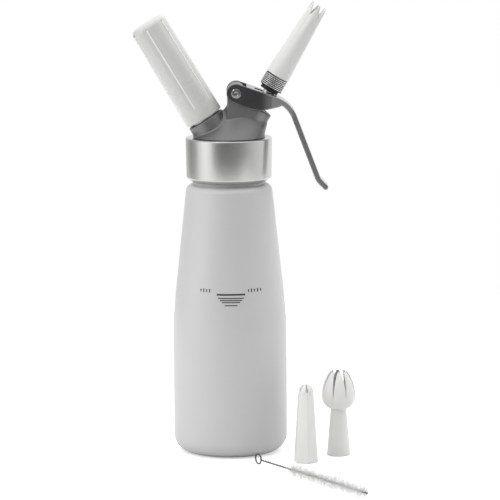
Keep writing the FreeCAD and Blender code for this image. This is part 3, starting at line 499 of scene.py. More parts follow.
def turning(wires: Wiring, along: Socket, lines: Socket) -> Socket:
    """Fine rings left by a lathe, along the height of what is given, as a height."""
    spread = wires.maths("MULTIPLY", along, lines)
    return wires.add("TexNoise", noise_dimensions="1D", W=spread, Scale=1.0, Detail=2.0,
                     Roughness=0.7).outputs["Fac"]


def handling(wires: Wiring, scale: Socket, contrast: Socket) -> Socket:
    """Broad soft patches where hands and cloths have changed the gloss, as a mask."""
    noise = wires.add("TexNoise", Vector=wires.place(), Scale=scale, Detail=4.0, Roughness=0.62,
                      Distortion=0.6)
    centred = wires.maths("SUBTRACT", noise.outputs["Fac"], 0.5)
    return wires.maths("ADD", wires.maths("MULTIPLY", centred, contrast), 0.5, use_clamp=True)


def grey(level: float, blue: float = 0.0) -> Triple:
    """A grey tone, a little bluer or yellower by the last value."""
    return level, level, level + blue


@dataclass(frozen=True)
class Finish:
    """A surface finish: two close tones, a gloss that changes in patches, and a fine grain."""

    name: str
    slot: str
    light: Triple
    dark: Triple
    metallic: float = 0.0
    roughness: Point = (0.35, 0.45)
    grain_scale: float = 2500.0
    grain_depth: float = 0.00002
    grain_strength: float = 0.3
    patch_scale: float = 40.0
    patch_contrast: float = 1.6
    lines: float = 0.0
    line_axis: Triple = (0.0, 0.0, 1.0)
    line_foot: Triple = (0.0, 0.0, 0.0)
    coat: float = 0.0
    coat_roughness: float = 0.1
    subsurface: float = 0.0
    # A lighter tone faded in along X: painted light on the side of a part that catches more light.
    painted_light_tone: Triple | None = None
    painted_light_tone_across: Point = (0.0, 1.0)

    def material(self) -> bpy.types.Material:
        """Builds the material once and returns it from then on."""
        made = bpy.data.materials.get(self.name)
        if made:
            return made
        made = bpy.data.materials.new(self.name)
        made.use_nodes = True
        made.diffuse_color = (*self.light, 1.0)
        wires = Wiring(made.node_tree)
        shader = made.node_tree.nodes["Principled BSDF"]
        patches = wires.effect(Grain.HANDLING, Scale=self.patch_scale, Contrast=self.patch_contrast)
        gloss = wires.add("MapRange", Value=patches, To_Min=self.roughness[0], To_Max=self.roughness[1])
        bump = wires.add("Bump", Strength=self.grain_strength, Distance=self.grain_depth,
                         Height=self.relief(wires))
        inputs = {"Base Color": self.tint(wires, patches), "Roughness": gloss.outputs["Result"],
                  "Normal": bump.outputs["Normal"], "Metallic": self.metallic, "Coat Weight": self.coat,
                  "Coat Roughness": self.coat_roughness}
        if self.subsurface:
            inputs.update({"Subsurface Weight": self.subsurface, "Subsurface Radius": (1.0, 0.9, 0.8),
                           "Subsurface Scale": MM})
        wires.feed_all(shader, inputs)
        return made

    def tint(self, wires: Wiring, patches: Socket) -> Socket:
        """Mixes the two tones by the patches, and fades along X into a lighter tone: painted light where a
        part catches more light.
        """
        colour = wires.mixed(patches, self.dark, self.light)
        if not self.painted_light_tone:
            return colour
        parts = wires.add("SeparateXYZ", wires.place())
        return wires.mixed(wires.rise(parts.outputs["X"], self.painted_light_tone_across), colour, self.painted_light_tone)

    def relief(self, wires: Wiring) -> Socket:
        """The height that the bump reads: turning lines if the finish has them, or speckle."""
        if not self.lines:
            return wires.effect(Grain.SPECKLE, Scale=self.grain_scale)
        centred = wires.add("VectorMath", wires.place(), self.line_foot, operation="SUBTRACT").outputs[0]
        along = wires.add("VectorMath", centred, self.line_axis, operation="DOT_PRODUCT")
        return wires.effect(Grain.TURNING, Along=along.outputs["Value"], Lines=self.lines)


LACQUER = Finish("bottle_lacquer", "lacquered_bottle", grey(0.55), grey(0.53), roughness=(0.38, 0.46),
                 coat=0.45, coat_roughness=0.22, grain_scale=1800.0, grain_strength=0.12)
INK = Finish("level_ink", "lacquered_bottle", grey(0.02), grey(0.03), roughness=(0.4, 0.5))
MACHINED = Finish("machined_collar", "cast_head", grey(0.66, -0.01), grey(0.60, -0.01), metallic=1.0,
                  roughness=(0.21, 0.28), lines=5200.0, grain_strength=0.35, grain_depth=0.00001)
BLASTED = Finish("blasted_casting", "cast_head", grey(0.28), grey(0.24), metallic=0.95,
                 roughness=(0.42, 0.50), grain_scale=2600.0, grain_strength=0.5)
# The lighter tone past the cheeks is painted light: the lever's arm catches more light than its dark cheeks.
LEVER_CAST = Finish("lever_casting", "cast_lever", grey(0.15, 0.005), grey(0.12, 0.005), metallic=1.0,
                    roughness=(0.26, 0.34), coat=0.6, grain_scale=2400.0, grain_strength=0.2,
                    painted_light_tone=grey(0.42), painted_light_tone_across=(0.022, 0.030))
CHROMED = Finish("chromed_pin", "chromed_pin", grey(0.80, 0.01), grey(0.72, 0.01), metallic=1.0,
                 roughness=(0.08, 0.16), grain_strength=0.05)
PIN_STEEL = Finish("pin_steel", "chromed_pin", grey(0.32, 0.01), grey(0.27, 0.01), metallic=1.0,
                   roughness=(0.16, 0.24), grain_strength=0.1)
BRIGHT_STEEL = Finish("bright_steel", "steel", grey(0.66, 0.01), grey(0.58, 0.01), metallic=1.0,
                      roughness=(0.22, 0.32), grain_strength=0.15)
TURNED_STEEL = Finish("turned_steel", "steel", grey(0.94, 0.01), grey(0.90, 0.01), metallic=0.45,
                      roughness=(0.20, 0.30), lines=7000.0, line_axis=tuple(VALVE_AXIS),
                      line_foot=tuple(JUNCTION), grain_strength=0.2, grain_depth=0.00001)
# Near-black steel: painted shade on the adapter's neck and between its ribs.
PAINTED_SHADE_STEEL = Finish("steel_painted_shade", "steel", grey(0.030), grey(0.022), metallic=0.3,
                        roughness=(0.45, 0.55), grain_strength=0.1)
CHARGER_STEEL = Finish("charger_plating", "charger_steel", (0.62, 0.63, 0.64), (0.54, 0.55, 0.56),
                       metallic=1.0, roughness=(0.22, 0.34), grain_strength=0.12)
WIRE_STEEL = Finish("brush_wire_steel", "brush_steel", grey(0.12), grey(0.08), metallic=0.7,
                    roughness=(0.32, 0.42), grain_strength=0.1)
BRASS = Finish("turned_brass", "brass", (0.72, 0.56, 0.29), (0.62, 0.47, 0.23), metallic=1.0,
               roughness=(0.24, 0.34), grain_strength=0.15)
RED_RUBBER = Finish("red_silicone", "red_silicone", (0.60, 0.09, 0.07), (0.52, 0.07, 0.06),
                    roughness=(0.55, 0.65), grain_strength=0.15)
BLACK_RUBBER = Finish("black_rubber", "black_rubber", grey(0.045), grey(0.03), roughness=(0.5, 0.62),
                      grain_strength=0.2)
WHITE_MOULDED = Finish("white_moulding", "white_plastic", grey(0.75, -0.01), grey(0.72, -0.01),
                       roughness=(0.30, 0.38), grain_strength=0.0)
HOLDER_MOULDED = Finish("holder_moulding", "white_plastic", grey(0.64, -0.01), grey(0.61, -0.01), coat=0.5,
                        roughness=(0.24, 0.32), grain_strength=0.0)
# A near-white, glossier copy of the holder's plastic: a painted highlight along the ridges.
RIDGE_PAINTED_HIGHLIGHT = Finish("ridge_moulding_painted_highlight", "white_plastic", grey(0.95, -0.01), grey(0.93, -0.01),
                       roughness=(0.16, 0.22), grain_strength=0.02)
NYLON = Finish("bristle_nylon", "nylon", grey(0.66, -0.01), grey(0.60, -0.01), roughness=(0.30, 0.40),
               subsurface=0.2, grain_strength=0.05)


def dress(piece: Shape, finish: Finish) -> Shape:
    """Gives a piece or a node its finish."""
    piece.data.materials.clear()
    piece.data.materials.append(finish.material())
    return piece


def dress_nodes(finishes: dict[str, Finish]) -> None:
    """Gives each of these nodes its finish."""
    for node, finish in finishes.items():
        dress(frame["nodes"][node], finish)


def fit(piece: Shape, finish: Finish, body: str, *nodes: str) -> Shape:
    """Dresses a new piece, rides it on its body and hides the nodes that it stands for."""
    dress(piece, finish)
    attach(piece, body)
    if nodes:
        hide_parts(*nodes)
    log.info("%s rides on %s with %d faces", piece.name, body, len(piece.data.polygons))
    return piece


# ---- bottle


@dataclass
class Bottle:
    """The drawn bottle with its neck thread and the printed level marks."""

    foot_corner: float = 12.0 * MM
    dish_radius: float = 24.0 * MM
    dish_depth: float = 1.8 * MM
    taper_start: float = 83.0 * MM
    taper_blend: float = 225.0 * MM
    taper_angle: float = math.radians(6.1)
    shoulder_height: float = 190.0 * MM
    shoulder_radius: float = 5.0 * MM
    neck_radius: float = 24.6 * MM
    neck_wall: float = 1.8 * MM
    wall: float = 1.2 * MM
    rim_rounding: float = 0.6 * MM
    thread_lead: float = 4.0 * MM
    thread_turns: float = 3.0
    thread_start: float = 197.5 * MM
    thread_height: float = 0.32 * MM
    thread_sunk: float = 0.3 * MM
    thread_shares: Point = (0.32, 0.096)
    mark_height: float = 116.9 * MM
    mark_middle: float = 0.8 * MM
    patch_start: float = 1.05
    patch_proud: float = 0.03 * MM
    patch_thickness: float = 0.05 * MM
    # The rows, strokes and ticks are in millimetres.
    mark_rows: tuple[Point, ...] = ((0.0, 9.9), (-2.5, 9.0), (-4.0, 7.7), (-5.4, 6.4), (-7.5, 4.4))
    mark_thickness: tuple[float, float] = (1.15, 0.7)
    tick_groups: tuple[tuple[float, int, float], ...] = ((-20.4, 4, 2.0), (12.6, 5, 2.1))
    tick_size: Point = (0.75, 2.6)
    tick_lift: float = 2.6
    short_tick: float = 0.7

    def side(self, inset: float) -> Outline:
        """The wall's line from the foot to the top of the shoulder, moved inwards.

        Args:
            inset: how far inside the outer face.

        Returns:
            The line, from the foot's corner upwards.
        """
        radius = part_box("bottle")[1][0]
        lean, blend, shoulder = self.taper_angle, self.taper_blend, self.shoulder_radius
        blend_across = radius - blend
        shoulder_up = self.shoulder_height - shoulder
        shoulder_across = ((blend - shoulder) + blend_across * math.cos(lean)
                           + (self.taper_start - shoulder_up) * math.sin(lean)) / math.cos(lean)
        line = Outline(radius - self.foot_corner, inset)
        line.arc(radius - inset, self.foot_corner, self.foot_corner - inset, +1, 14)
        line.to(radius - inset, self.taper_start)
        line.arc(blend_across + (blend - inset) * math.cos(lean),
                 self.taper_start + (blend - inset) * math.sin(lean), blend - inset, +1, 10)
        bend = shoulder - inset
        line.to(shoulder_across + bend * math.cos(lean), shoulder_up + bend * math.sin(lean))
        line.arc(shoulder_across, self.shoulder_height - inset, bend, +1, 12)
        return line

    def shell(self) -> Shape:
        """The bottle's wall, in and out, with a dished foot and a rolled rim."""
        rim_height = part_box("bottle")[1][2]
        dish = arc_radius(self.dish_radius, self.dish_depth)
        outline = Outline(0, self.dish_depth).arc(self.dish_radius, 0, dish, -1, 8)
        outline.points += self.side(0).points
        outline.to(self.neck_radius, self.shoulder_height)
        outline.to(self.neck_radius, rim_height - self.rim_rounding)
        outline.arc(self.neck_radius - self.rim_rounding, rim_height, self.rim_rounding, +1, 5)
        bore = self.neck_radius - self.neck_wall
        outline.to(bore + self.rim_rounding, rim_height)
        outline.arc(bore, rim_height - self.rim_rounding, self.rim_rounding, +1, 5)
        outline.to(bore, self.shoulder_height - self.wall)
        outline.points += reversed(self.side(self.wall).points)
        outline.to(self.dish_radius, self.wall).arc(0, self.dish_depth + self.wall, dish, +1, 8)
        return turned("bottle_shell", outline, 160)

    def neck_thread(self) -> Shape:
        """The rolled thread round the neck, which shows once the head is lifted."""
        radii = (self.neck_radius - self.thread_sunk, self.neck_radius + self.thread_height)
        return threaded("neck_thread", radii, self.thread_start, self.thread_lead, self.thread_turns,
                        self.thread_shares)

    def stroke(self, middle: Point, size: Point, shell: Shape) -> Shape:
        """A thin printed stroke that hugs the bottle's front.

        Args:
            middle: its middle, across the bottle and up.
            size: its width and height.
            shell: the bottle that it is printed on.

        Returns:
            The closed stroke, a few hundredths of a millimetre proud.
        """
        front = -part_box("bottle")[1][0] * self.patch_start
        pick()
        bpy.ops.mesh.primitive_grid_add(x_subdivisions=max(2, round(size[0] / MM)), y_subdivisions=2, size=1,
                                        location=(middle[0], front, middle[1]),
                                        rotation=(math.pi / 2, 0, 0))
        patch = named("level_stroke")
        patch.scale = (*size, 1)
        finish_modifier(settle(patch), "SHRINKWRAP", target=shell, wrap_method="PROJECT", use_project_y=True,
                        use_negative_direction=True, use_positive_direction=True, offset=self.patch_proud)
        finish_modifier(patch, "SOLIDIFY", thickness=self.patch_thickness, offset=0.0)
        return seal(patch, WELD / 10)

    def level_marks(self, shell: Shape) -> Shape:
        """The tapering stack of level lines, with a row of plain ticks at each side."""
        strokes = []
        for index, (drop, half) in enumerate(self.mark_rows):
            thick = self.mark_thickness[min(index, 1)] * MM
            strokes.append(((self.mark_middle, self.mark_height + drop * MM), (half * 2 * MM, thick)))
        wide, tall = self.tick_size
        for start, count, gap in self.tick_groups:
            for index in range(count):
                middle = ((start + gap * index + wide / 2) * MM, self.mark_height + self.tick_lift * MM)
                strokes.append((middle, (wide * MM, tall * MM * (1 if index % 2 else self.short_tick))))
        return joined("level_marks", *[self.stroke(middle, size, shell) for middle, size in strokes])

    def build(self) -> None:
        """Builds the bottle and its marks."""
        shell = fit(self.shell(), LACQUER, "bottle", "bottle")
        fit(self.neck_thread(), LACQUER, "bottle")
        fit(self.level_marks(shell), INK, "bottle")


# ---- head


@dataclass
class Head:
    """The screw collar, the casting above it, the pivot pin and the parts inside."""

    collar_low: float = 192.2 * MM
    collar_base_radius: float = 29.8 * MM
    collar_top_radius: float = 30.3 * MM
    deck_height: float = 222.8 * MM
    chamfer: Point = (3.0 * MM, 2.8 * MM)
    edge: float = 1.1 * MM
    bore: float = 25.1 * MM
    ceiling: float = 216.0 * MM
    ceiling_inner: float = 19.2 * MM
    ceiling_recess: float = 2.3 * MM
    cast_grain: float = 0.42 * MM
    cast_passes: int = 15
    skirt: float = 0.06 * MM
    cut_share: float = 1.7
    fill_share: float = 1.2
    clearance: float = 3.0 * MM
    deck_margin: float = 0.3 * MM
    boss_face: float = 40.5 * MM
    pocket_radius: float = 5.9 * MM
    pocket_floor: float = 29.0 * MM
    nipple_radius: float = 9.25 * MM
    nipple_face: float = 31.8 * MM
    nipple_end: float = 42.0 * MM
    nipple_bore: float = 5.0 * MM
    nipple_lead: float = 2.0 * MM
    nipple_turns: int = 4
    nipple_start: float = 0.3 * MM
    nipple_sunk: float = 0.2 * MM
    nipple_crest: float = 0.35 * MM
    nipple_foot: float = 0.4
    pin_radius: float = 3.35 * MM
    pin_height: float = 1.1 * MM
    pin_shank: float = 2.0 * MM
    pin_dome: float = 0.55 * MM
    pin_bend: float = 1.2
    pin_dimple: Point = (1.7 * MM, 0.5 * MM)
    spring_radius: float = 4.75 * MM
    spring_wire: float = 0.5 * MM
    spring_low: float = 29.8 * MM
    spring_high: float = 44.9 * MM
    spring_turns: int = 6
    spring_keep: float = 0.79

    def collar(self) -> Shape:
        """The machined collar: a chamfered skirt, a rounded top rim and a bored inside."""
        wide, tall = self.chamfer
        top, low, edge = self.deck_height, self.collar_low, self.edge
        soft = 0.35 * MM
        lip, bend = soft * 0.7, soft * 3
        recess = self.ceiling + self.ceiling_recess
        outline = Outline(0, recess).to(self.ceiling_inner, recess).to(self.ceiling_inner, self.ceiling)
        outline.to(self.bore, self.ceiling).to(self.bore, low + soft)
        outline.arc(self.bore + soft, low, soft, +1, 4)
        outline.to(self.collar_base_radius - wide - soft, low)
        outline.arc(self.collar_base_radius - wide + lip, low + lip, bend, +1, 4)
        outline.to(self.collar_base_radius - soft, low + tall - soft)
        outline.arc(self.collar_base_radius, low + tall + soft, bend, +1, 4)
        outline.to(self.collar_top_radius, top - edge)
        outline.arc(self.collar_top_radius - edge, top, edge, +1, 8)
        outline.to(0, top)
        return turned("head_collar", outline, 160)

    def casting(self) -> Shape:
        """The cast top: one skin with fillets where the bosses, column and flanks meet."""
        charger_fill = self.plug(CHARGER_AXIS, 0.0, self.nipple_face - MM, self.nipple_radius)
        nipple_cut = self.plug(CHARGER_AXIS, self.nipple_face - self.skirt, self.nipple_end + MM,
                               self.nipple_radius * self.cut_share)
        valve_fill = self.plug(VALVE_AXIS, 0.0, self.boss_face - MM,
                               self.pocket_radius * self.fill_share)
        top = cast_over("head_casting", "head_casting_top", self.cast_grain, self.cast_passes,
                        (charger_fill, "UNION"), (nipple_cut, "DIFFERENCE"), (valve_fill, "UNION"))
        with editing(top):
            bpy.ops.mesh.bisect(plane_co=(0, 0, self.deck_height + self.deck_margin), plane_no=(0, 0, 1),
                                use_fill=True, clear_inner=True)
        end = self.boss_face + self.clearance
        carve(top, self.plug(VALVE_AXIS, self.pocket_floor, end, self.pocket_radius))
        return smooth(top, math.radians(50))

    def plug(self, axis: Vector, start: float, end: float, radius: float) -> Shape:
        """A cylinder along one of the leaning axes, to cut or fill with."""
        pick()
        bpy.ops.mesh.primitive_cylinder_add(vertices=96, radius=radius, depth=end - start,
                                            location=(0, 0, (start + end) / 2))
        return leaned(settle(named("plug")), axis)

    def nipple(self) -> Shape:
        """The threaded nipple that the charger holder screws onto."""
        start, end, soft = self.nipple_face - MM, self.nipple_end, 0.5 * MM
        outline = Outline(self.nipple_bore, start).to(self.nipple_radius, start)
        outline.to(self.nipple_radius, end - soft).to(self.nipple_radius - soft, end)
        core = turned("nipple_core", outline.to(self.nipple_bore, end).close())
        low = self.nipple_face + self.nipple_lead * self.nipple_foot + self.nipple_start
        radii = (self.nipple_radius - self.nipple_sunk, self.nipple_radius + self.nipple_crest)
        thread = threaded("nipple_thread", radii, low, self.nipple_lead, self.nipple_turns,
                          (self.nipple_foot, 0.0))
        return leaned(joined("charger_nipple", core, thread), CHARGER_AXIS)

    def pin_head(self) -> Shape:
        """The pivot pin with a domed head, a flat tail and the clip's groove."""
        _, pivot = axis_of("lever_pivot")
        low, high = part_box("lever_pivot_pin")
        face, tail = -low[1] - self.pin_height, -high[1]
        shank, soft = self.pin_shank, 0.25 * MM
        outline = Outline(0, tail).to(shank - soft, tail).to(shank, tail + soft).to(shank, face)
        outline.to(self.pin_radius - soft, face).arc(self.pin_radius, face + soft, soft, +1, 4)
        outline.to(self.pin_radius, face + self.pin_height - self.pin_dome)
        across, depth = self.pin_dimple
        outline.arc(across, face + self.pin_height, self.pin_radius * self.pin_bend, +1, 6)
        outline.arc(0, face + self.pin_height - depth, arc_radius(across, depth), -1, 6)
        pin = turned("pivot_pin", outline, 64)
        pin.matrix_world = Matrix.Translation(pivot) @ Matrix.Rotation(math.pi / 2, 4, "X")
        return settle(pin)

    def spring(self) -> Shape:
        """The return spring round the valve stem."""
        section = round_section(self.spring_radius, self.spring_low, self.spring_wire, 10)
        rise = (self.spring_high - self.spring_low) / self.spring_turns
        return leaned(helix("return_spring", section, rise, self.spring_turns, 40), VALVE_AXIS)

    def build(self) -> None:
        """Builds the head and dresses the nodes inside it."""
        fit(self.collar(), MACHINED, "head", "head_casting")
        fit(self.casting(), BLASTED, "head", "head_casting")
        fit(self.nipple(), BRIGHT_STEEL, "head")
        fit(self.pin_head(), PIN_STEEL, "head", "lever_pivot_pin")
        spring = fit(self.spring(), BRIGHT_STEEL, "head", "valve_spring")
        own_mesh(spring)
        dress_nodes({"head_gasket": RED_RUBBER, "pivot_clip": CHROMED, "stem_o_ring": BLACK_RUBBER,
                     "stem_guide_bush": BRASS, "inlet_valve_disc": BLACK_RUBBER, "piercing_pin_body": BRASS,
                     "piercing_pin": BRIGHT_STEEL, "charger_seal": BLACK_RUBBER})


# ---- lever


@dataclass
class Lever:
    """The forked lever, cast in one piece."""

    grain: float = 0.33 * MM
    passes: int = 7

    def build(self) -> None:
        """Rounds the lever's edges as a casting has them."""
        lever = cast_over("lever", "squeeze_lever", self.grain, self.passes)
        fit(lever, LEVER_CAST, "lever", "lever")


# ---- valve, adapter and decorator tip


@dataclass
class ValveSide:
    """The stem, the ribbed adapter and the star tip, along the valve's axis."""

    adapter_base: float = 54.49 * MM
    neck_radius: float = 6.6 * MM
    neck_height: float = 2.3 * MM
    collar_radius: float = 8.8 * MM
    collar_top: float = 66.2 * MM
    rib_depth: float = 0.7 * MM
    rib_lead: float = 1.2 * MM
    rib_shares: Point = (0.27, 0.13)
    nipple_radius: float = 6.5 * MM
    nipple_end: float = 79.0 * MM
    bore: float = 3.55 * MM
    upper_bore: float = 4.0 * MM
    tip_gap: float = 0.3 * MM
    tip_length: float = 57.2 * MM
    tip_base_radius: float = 8.55 * MM
    tip_end_radius: float = 5.95 * MM
    tip_wall: float = 1.0 * MM
    socket_radius: float = 6.7 * MM
    socket_depth: float = 13.8 * MM
    prong_length: float = 8.0 * MM
    prong_count: int = 6
    notch_width: float = 5.4 * MM
    notch_root: float = 0.7 * MM
    crown_phase: float = math.radians(34)
    edge: float = 0.18 * MM

    def adapter_painted_shade_body(self) -> Shape:
        """The adapter's neck and the roots between its ribs, near black: painted shade under the collar and
        between the ribs.
        """
        base, top, soft = self.adapter_base, self.collar_top, 0.4 * MM
        root = self.collar_radius - self.rib_depth
        rib_start = base + self.neck_height
        outline = Outline(self.bore, base).to(self.neck_radius, base).to(self.neck_radius, rib_start)
        outline.to(root - soft, rib_start).to(root, rib_start + soft).to(root, top - soft)
        outline.to(root - soft, top).to(self.bore, top).close()
        return leaned(turned("adapter_painted_shade_body", outline), VALVE_AXIS)

    def adapter(self) -> Shape:
        """The adapter's bright parts: its fine ribs and the nipple for the tip."""
        top, soft, sunk = self.collar_top, 0.4 * MM, 0.1 * MM
        outline = Outline(self.upper_bore, top - MM).to(self.nipple_radius, top - MM)
        outline.to(self.nipple_radius, self.nipple_end - soft)
        outline.to(self.nipple_radius - soft, self.nipple_end).to(self.upper_bore, self.nipple_end).close()
        nipple = turned("adapter_nipple", outline)
        foot = self.rib_lead * self.rib_shares[0]
        low = self.adapter_base + self.neck_height + foot + sunk
        ribs = threaded("adapter_ribs", (self.collar_radius - self.rib_depth - sunk, self.collar_radius), low,
                        self.rib_lead, (top - low - foot) / self.rib_lead, self.rib_shares, 80)
        return leaned(joined("ribbed_adapter", nipple, ribs), VALVE_AXIS)

    def tip(self) -> Shape:
        """The star tip: a long taper from its socket to a crown of prongs."""
        base = self.collar_top + self.tip_gap
        top = base + self.tip_length
        socket_top = base + self.socket_depth
        soft = 0.3 * MM
        outline = Outline(self.socket_radius, base).to(self.tip_base_radius - soft, base)
        outline.arc(self.tip_base_radius, base + soft, soft, +1, 4)
        outline.to(self.tip_end_radius, top).to(self.tip_end_radius - self.tip_wall, top)
        outline.to(self.socket_radius - self.tip_wall / 2, socket_top).to(self.socket_radius, socket_top)
        tip = turned("decorator_star_tip", outline.close(), 120)
        half, root = self.notch_width / 2, self.notch_root / 2
        low = top - self.prong_length
        clear = top + 0.1 * MM
        for turn in all_round(self.prong_count, self.crown_phase):
            outline = Outline(-root, low).to(root, low).to(half, clear).to(half, top + MM)
            notch = extruded("notch", outline.to(-half, top + MM).to(-half, clear), self.tip_base_radius)
            carve(tip, set_round(notch, turn, (0, self.tip_base_radius / 2, 0)))
        break_edges(tip, self.edge)
        return leaned(smooth(tip), VALVE_AXIS)

    def build(self) -> None:
        """Builds the adapter and the tip and dresses the stem."""
        fit(self.adapter(), TURNED_STEEL, "adapter", "tip_adapter")
        # The neck and rib roots carry painted shade.
        fit(self.adapter_painted_shade_body(), PAINTED_SHADE_STEEL, "adapter")
        fit(self.tip(), WHITE_MOULDED, "tip", "star_tip")
        dress_nodes({"valve_stem": BRIGHT_STEEL, "valve_seal": BLACK_RUBBER, "seal_retainer": BRIGHT_STEEL})


# ---- charger holder


@dataclass
class ChargerSide:
    """The charger and its lobed holder, along the charger's axis."""

    base: float = 32.9 * MM
    length: float = 77.5 * MM
    radius: float = 13.65 * MM
    taper: float = 0.55 * MM
    crown: float = 4.2 * MM
    rim_edge: float = 0.8 * MM
    cavity: float = 9.5 * MM
    crown_wall: float = 4.6 * MM
    insert_radius: float = 10.6 * MM
    insert_top: float = 44.2 * MM
    lobe_count: int = 6
    lobe_radius: float = 11.0 * MM
    lobe_start: float = 6.6 * MM
    lobe_run_out: float = 5.0 * MM
    lobe_phase: float = math.radians(-8)
    lobe_depth: float = 1.5 * MM
    wedge_reach: Point = (0.8, 1.2)
    ridge_radius: float = 0.5 * MM
    ridge_place: float = 13.05 * MM

    def shell(self) -> Shape:
        """The holder as turned, before its lobes."""
        top, crown = self.base + self.length, self.crown
        inner_top = top - self.crown_wall
        outline = Outline(0, inner_top).to(self.cavity - crown, inner_top)
        outline.arc(self.cavity, inner_top - crown, crown, -1, 8)
        outline.to(self.cavity, self.insert_top).to(self.insert_radius, self.insert_top)
        outline.to(self.insert_radius, self.base).to(self.radius - self.rim_edge, self.base)
        outline.arc(self.radius, self.base + self.rim_edge, self.rim_edge, +1, 6)
        end = self.radius - self.taper
        outline.to(end, top - crown).arc(end - crown, top, crown, +1, 10).to(0, top)
        return turned("charger_cap", outline, 144)

    def lobe_tool(self) -> Shape:
        """The shape round one rounded lobe, with a curved run-out above the plain rim."""
        top, start = self.base + self.length + MM, self.base + self.lobe_start
        lobe, run = self.lobe_radius, self.lobe_run_out
        beyond = lobe + self.lobe_depth
        outline = Outline(0, start - MM).to(beyond, start - MM).to(beyond, start)
        outline.arc(lobe, start + run, arc_radius(run, self.lobe_depth), -1, 8)
        outline.to(lobe - self.taper, top + MM).to(0, top + MM)
        form = turned("lobe_form", outline, 180)
        form.location = (self.radius - lobe, 0, 0)
        half = math.tan(math.pi / self.lobe_count)
        near, far = [self.radius * share for share in self.wedge_reach]
        wedge = Outline(near, -near * half).to(far, -far * half).to(far, far * half).to(near, near * half)
        tool = extruded("lobe", wedge, top - start)
        upright = Matrix.Rotation(math.pi / 2, 4, "X")
        tool.matrix_world = Matrix.Translation((0, 0, (top + start) / 2)) @ upright
        return carve(settle(tool), settle(form))

    def ridges(self) -> Shape:
        """The fine ridges in the valleys between the lobes, dressed far paler than the holder as a painted
        highlight.
        """
        low = self.base + self.lobe_start + self.lobe_run_out / 2
        high = self.base + self.length - self.crown
        thick = self.ridge_radius
        ridges = []
        for turn in all_round(self.lobe_count, self.lobe_phase + math.pi / self.lobe_count):
            outline = Outline(0, low).arc(thick, low + thick, thick, +1, 6)
            ridge = turned("ridge", outline.to(thick, high - thick).arc(0, high, thick, +1, 6), 16)
            ridges.append(set_round(ridge, turn, (self.ridge_place, 0, 0)))
        return leaned(smooth(joined("holder_ridges", *ridges)), CHARGER_AXIS)

    def holder(self) -> Shape:
        """The finished holder with its rounded lobes."""
        holder = self.shell()
        for turn in all_round(self.lobe_count, self.lobe_phase):
            carve(holder, set_round(self.lobe_tool(), turn))
        return leaned(smooth(holder, math.radians(28)), CHARGER_AXIS)

    def build(self) -> None:
        """Builds the holder and dresses the charger and the insert."""
        fit(self.holder(), HOLDER_MOULDED, "holder", "charger_holder")
        # The ridges' pale finish is a painted highlight.
        fit(self.ridges(), RIDGE_PAINTED_HIGHLIGHT, "holder")
        dress_nodes({"holder_insert": BRASS, "gas_charger": CHARGER_STEEL})


# ---- spare tips


def middle_of(node: str) -> Vector:
    """The point on the table under the middle of a node."""
    low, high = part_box(node)
    return Vector(((low[0] + high[0]) / 2, (low[1] + high[1]) / 2, 0))


